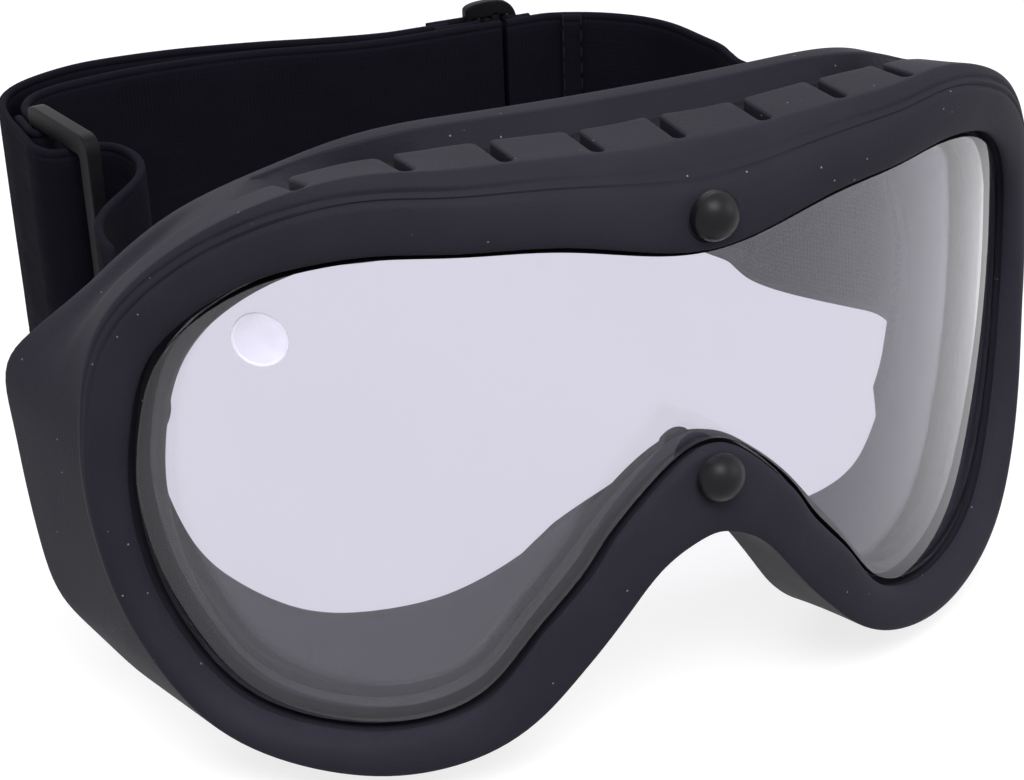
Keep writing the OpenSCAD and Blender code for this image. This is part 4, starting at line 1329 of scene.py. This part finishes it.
seamLine, _ = smoothPath([r[:2] for r in rightPath], 0.25)
near = seamLine[(seamLine[:, 0] > seamSizes["from"])
                & (seamLine[:, 0] < seamSizes["to"])]
along = np.gradient(near, axis=0)
across = unitRows(np.stack([-along[:, 1], along[:, 0]], 1))
seamMiddle = near - across * (strapSizes["thick"] / 2 + seamSizes["gap"]
                              + seamSizes["thick"] / 2)
seamParts = [makeBand("seamCover", seamMiddle[::5], 0.0)[0]]
stitchNodes = stitchTree()
seamReach = seamSizes["reach"]
for spot in (1, -2):
    p = seamMiddle[spot] - across[spot] * seamSizes["proud"]
    seamParts.append(runTree(
        "stitches", [(*p, -seamReach), (*p, seamReach)], [(0, 1)], stitchNodes,
        {"Pitch": seamSizes["pitch"] * mm, "Finish": thread,
         "Stitch Length": seamSizes["stitch"] * mm,
         "Thread": seamSizes["thread"] * mm}))
seam = joinMeshes("strapSeam", seamParts, 50)
finishPiece(seam, "strap", "elastic", "strap_seam")
bpy.data.objects.remove(bandShape)
print("strap made")


# Slides: a rounded frame, open at the left, closed there by a round bar
def slidePlate(name, size):
    half, tall = size["length"] / 2, size["height"] / 2
    gap, inner = slideSizes["window"] / 2, half - size["bar"]
    r, thick = size["corner"], size["thick"] / 2
    plan = roundedLoop([
        (-half, gap), (-half, tall), (half, tall), (half, -tall),
        (-half, -tall), (-half, -gap), (inner, -gap), (inner, gap)],
        [0.5, r, r, r, r, 0.5, 1.0, 1.0], 10)
    plate = loftPiece(name, [[(x, y, z) for x, z in plan]
                             for y in (-thick, thick)], slideFinish)
    change = plate.modifiers.new("soften", "BEVEL")
    change.width, change.segments = size["soft"] * mm, 4
    change.limit_method, change.angle_limit = "ANGLE", math.radians(50)
    change.profile = 0.6
    return plainMesh(plate, name, 45)


def roundBar(name, size):
    x, radius, tall = size["roundX"], size["round"] / 2, size["roundTall"] / 2
    turn = np.linspace(0, 2 * math.pi, 40, endpoint=False)
    return loftPiece(name, [
        [(x + r * math.cos(a), r * math.sin(a), z) for a in turn]
        for z, r in ((-tall, radius * 0.3), (-tall, radius), (tall, radius),
                     (tall, radius * 0.3))], slideFinish)


def middleBar(name, size):
    x0, half = size["middleX"], size["middleThick"] / 2
    x1, tall = x0 + size["middleWide"], size["roundTall"] / 2
    plan = roundedLoop([(x0, -half), (x1, -half), (x1, half), (x0, half)],
                       0.5, 4)
    return loftPiece(name, [[(x, y, z) for x, y in plan]
                            for z in (-tall, tall)], slideFinish)


def placeSlide(name, parts, size):
    obj = joinMeshes(name, parts, 45)
    obj.data.transform(Matrix.Translation(Vector((*size["at"], 0)) * mm)
                       @ Matrix.Rotation(math.radians(size["turn"]), 4, "Z"))
    return obj


sidePiece = placeSlide("sideSlide", [
    slidePlate("sidePlate", sideSize), roundBar("sideRound", sideSize)],
    sideSize)
backPiece = placeSlide("backSlide", [
    slidePlate("backPlate", backSize), roundBar("backRound", backSize),
    middleBar("midBar", backSize)], backSize)
finishPiece(sidePiece, "side_slide", "slide", "side_slide")
finishPiece(backPiece, "back_slide", "slide", "back_slide")
print("slides made")

# CAD nodes that stay, with their finishes
for node, finish, slot in (("stud_cap_top", studFinish, "stud"),
                           ("stud_cap_bottom", studFinish, "stud"),
                           ("anchor_bar_left", barFinish, "bar"),
                           ("anchor_bar_right", barFinish, "bar")):
    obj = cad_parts[node]
    obj.data.materials.clear()
    obj.data.materials.append(finish)


# Floor, world and lamps, in metres and watts
stageSizes = {"floor": 6.0, "below": 0.0004, "glow": 0.78}
lampSizes = {"keySoftbox": {"at": (-0.25, -0.7, 1.05), "aim": (0, 0.03, 0),
                            "size": (0.8, 0.6), "power": 12.5},
             "fillSoftbox": {"at": (0.9, -0.6, 0.45), "aim": (0, 0.03, 0),
                             "size": (0.7, 0.7), "power": 2.6},
             "rearSoftbox": {"at": (0.1, 0.9, 0.9), "aim": (0, 0.05, 0),
                             "size": (0.9, 0.5), "power": 2.5}}
glossyRay, throughRay = "Is Glossy Ray", "Is Transmission Ray"


def seenBy(tree, *kinds):  # 1 where a ray of one of these kinds looks
    path = tree.nodes.new("ShaderNodeLightPath")
    seen = path.outputs[kinds[0]]
    for kind in kinds[1:]:
        seen = addMath(tree, "MAXIMUM", seen, path.outputs[kind])
    return seen


def shaderMix(tree, factor, a, b):
    return addNode(tree, "ShaderNodeMixShader",
                   {0: factor, 1: a, 2: b}).outputs[0]


def plainLight(tree, kind, colour, strength):
    return addNode(tree, kind, {"Color": (*colour, 1),
                                "Strength": strength}).outputs[0]


def makeFloorFinish():
    material, tree, shader, output = newMaterial("paleFloor")
    fillInputs(tree, shader, {"Base Color": (0.42, 0.42, 0.44, 1),
                              "Roughness": 0.9})
    white = (1, 1, 1)
    glow = plainLight(tree, "ShaderNodeEmission", white, stageSizes["glow"])
    lit = addNode(tree, "ShaderNodeBsdfDiffuse", {
        "Color": (0.35, 0.35, 0.35, 1)})
    plain = plainLight(tree, "ShaderNodeEmission", white, 1.0)
    pale = addNode(tree, "ShaderNodeAddShader", {0: glow, 1: lit.outputs[0]})
    through = shaderMix(tree, seenBy(tree, glossyRay, throughRay),
                        shader.outputs[0], plain)
    fillInputs(tree, output, {"Surface": shaderMix(
        tree, seenBy(tree, "Is Camera Ray"), through, pale.outputs[0])})
    return material


low = (min(cadBox[0][2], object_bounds()[0][2]) - stageSizes["below"]) / mm
half = stageSizes["floor"] / mm / 2
floor = makeMesh("floor", [(-half, -half, low), (half, -half, low),
                           (half, half, low), (-half, half, low)],
                 [(0, 1, 2, 3)], makeFloorFinish())

world = bpy.data.worlds.new("studioWorld")
bpy.context.scene.world = world
world.use_nodes = True
worldTree = world.node_tree
worldTree.nodes.clear()
soft = plainLight(worldTree, "ShaderNodeBackground", (0.93, 0.94, 1.0), 0.45)
white = plainLight(worldTree, "ShaderNodeBackground", (1, 1, 1), 1.0)
addNode(worldTree, "ShaderNodeOutputWorld", {"Surface": shaderMix(
    worldTree, seenBy(worldTree, "Is Camera Ray", glossyRay, throughRay),
    soft, white)})

for name, lamp in lampSizes.items():
    data = bpy.data.lights.new(name, "AREA")
    data.shape, data.energy = "RECTANGLE", lamp["power"]
    data.size, data.size_y = lamp["size"]
    obj = linkObject(bpy.data.objects.new(name, data))
    obj.location = lamp["at"]
    aim = Vector(lamp["aim"]) - Vector(lamp["at"])
    obj.rotation_euler = aim.to_track_quat("-Z", "Y").to_euler()
bpy.context.scene.view_settings.view_transform = "Standard"
print("stage set")
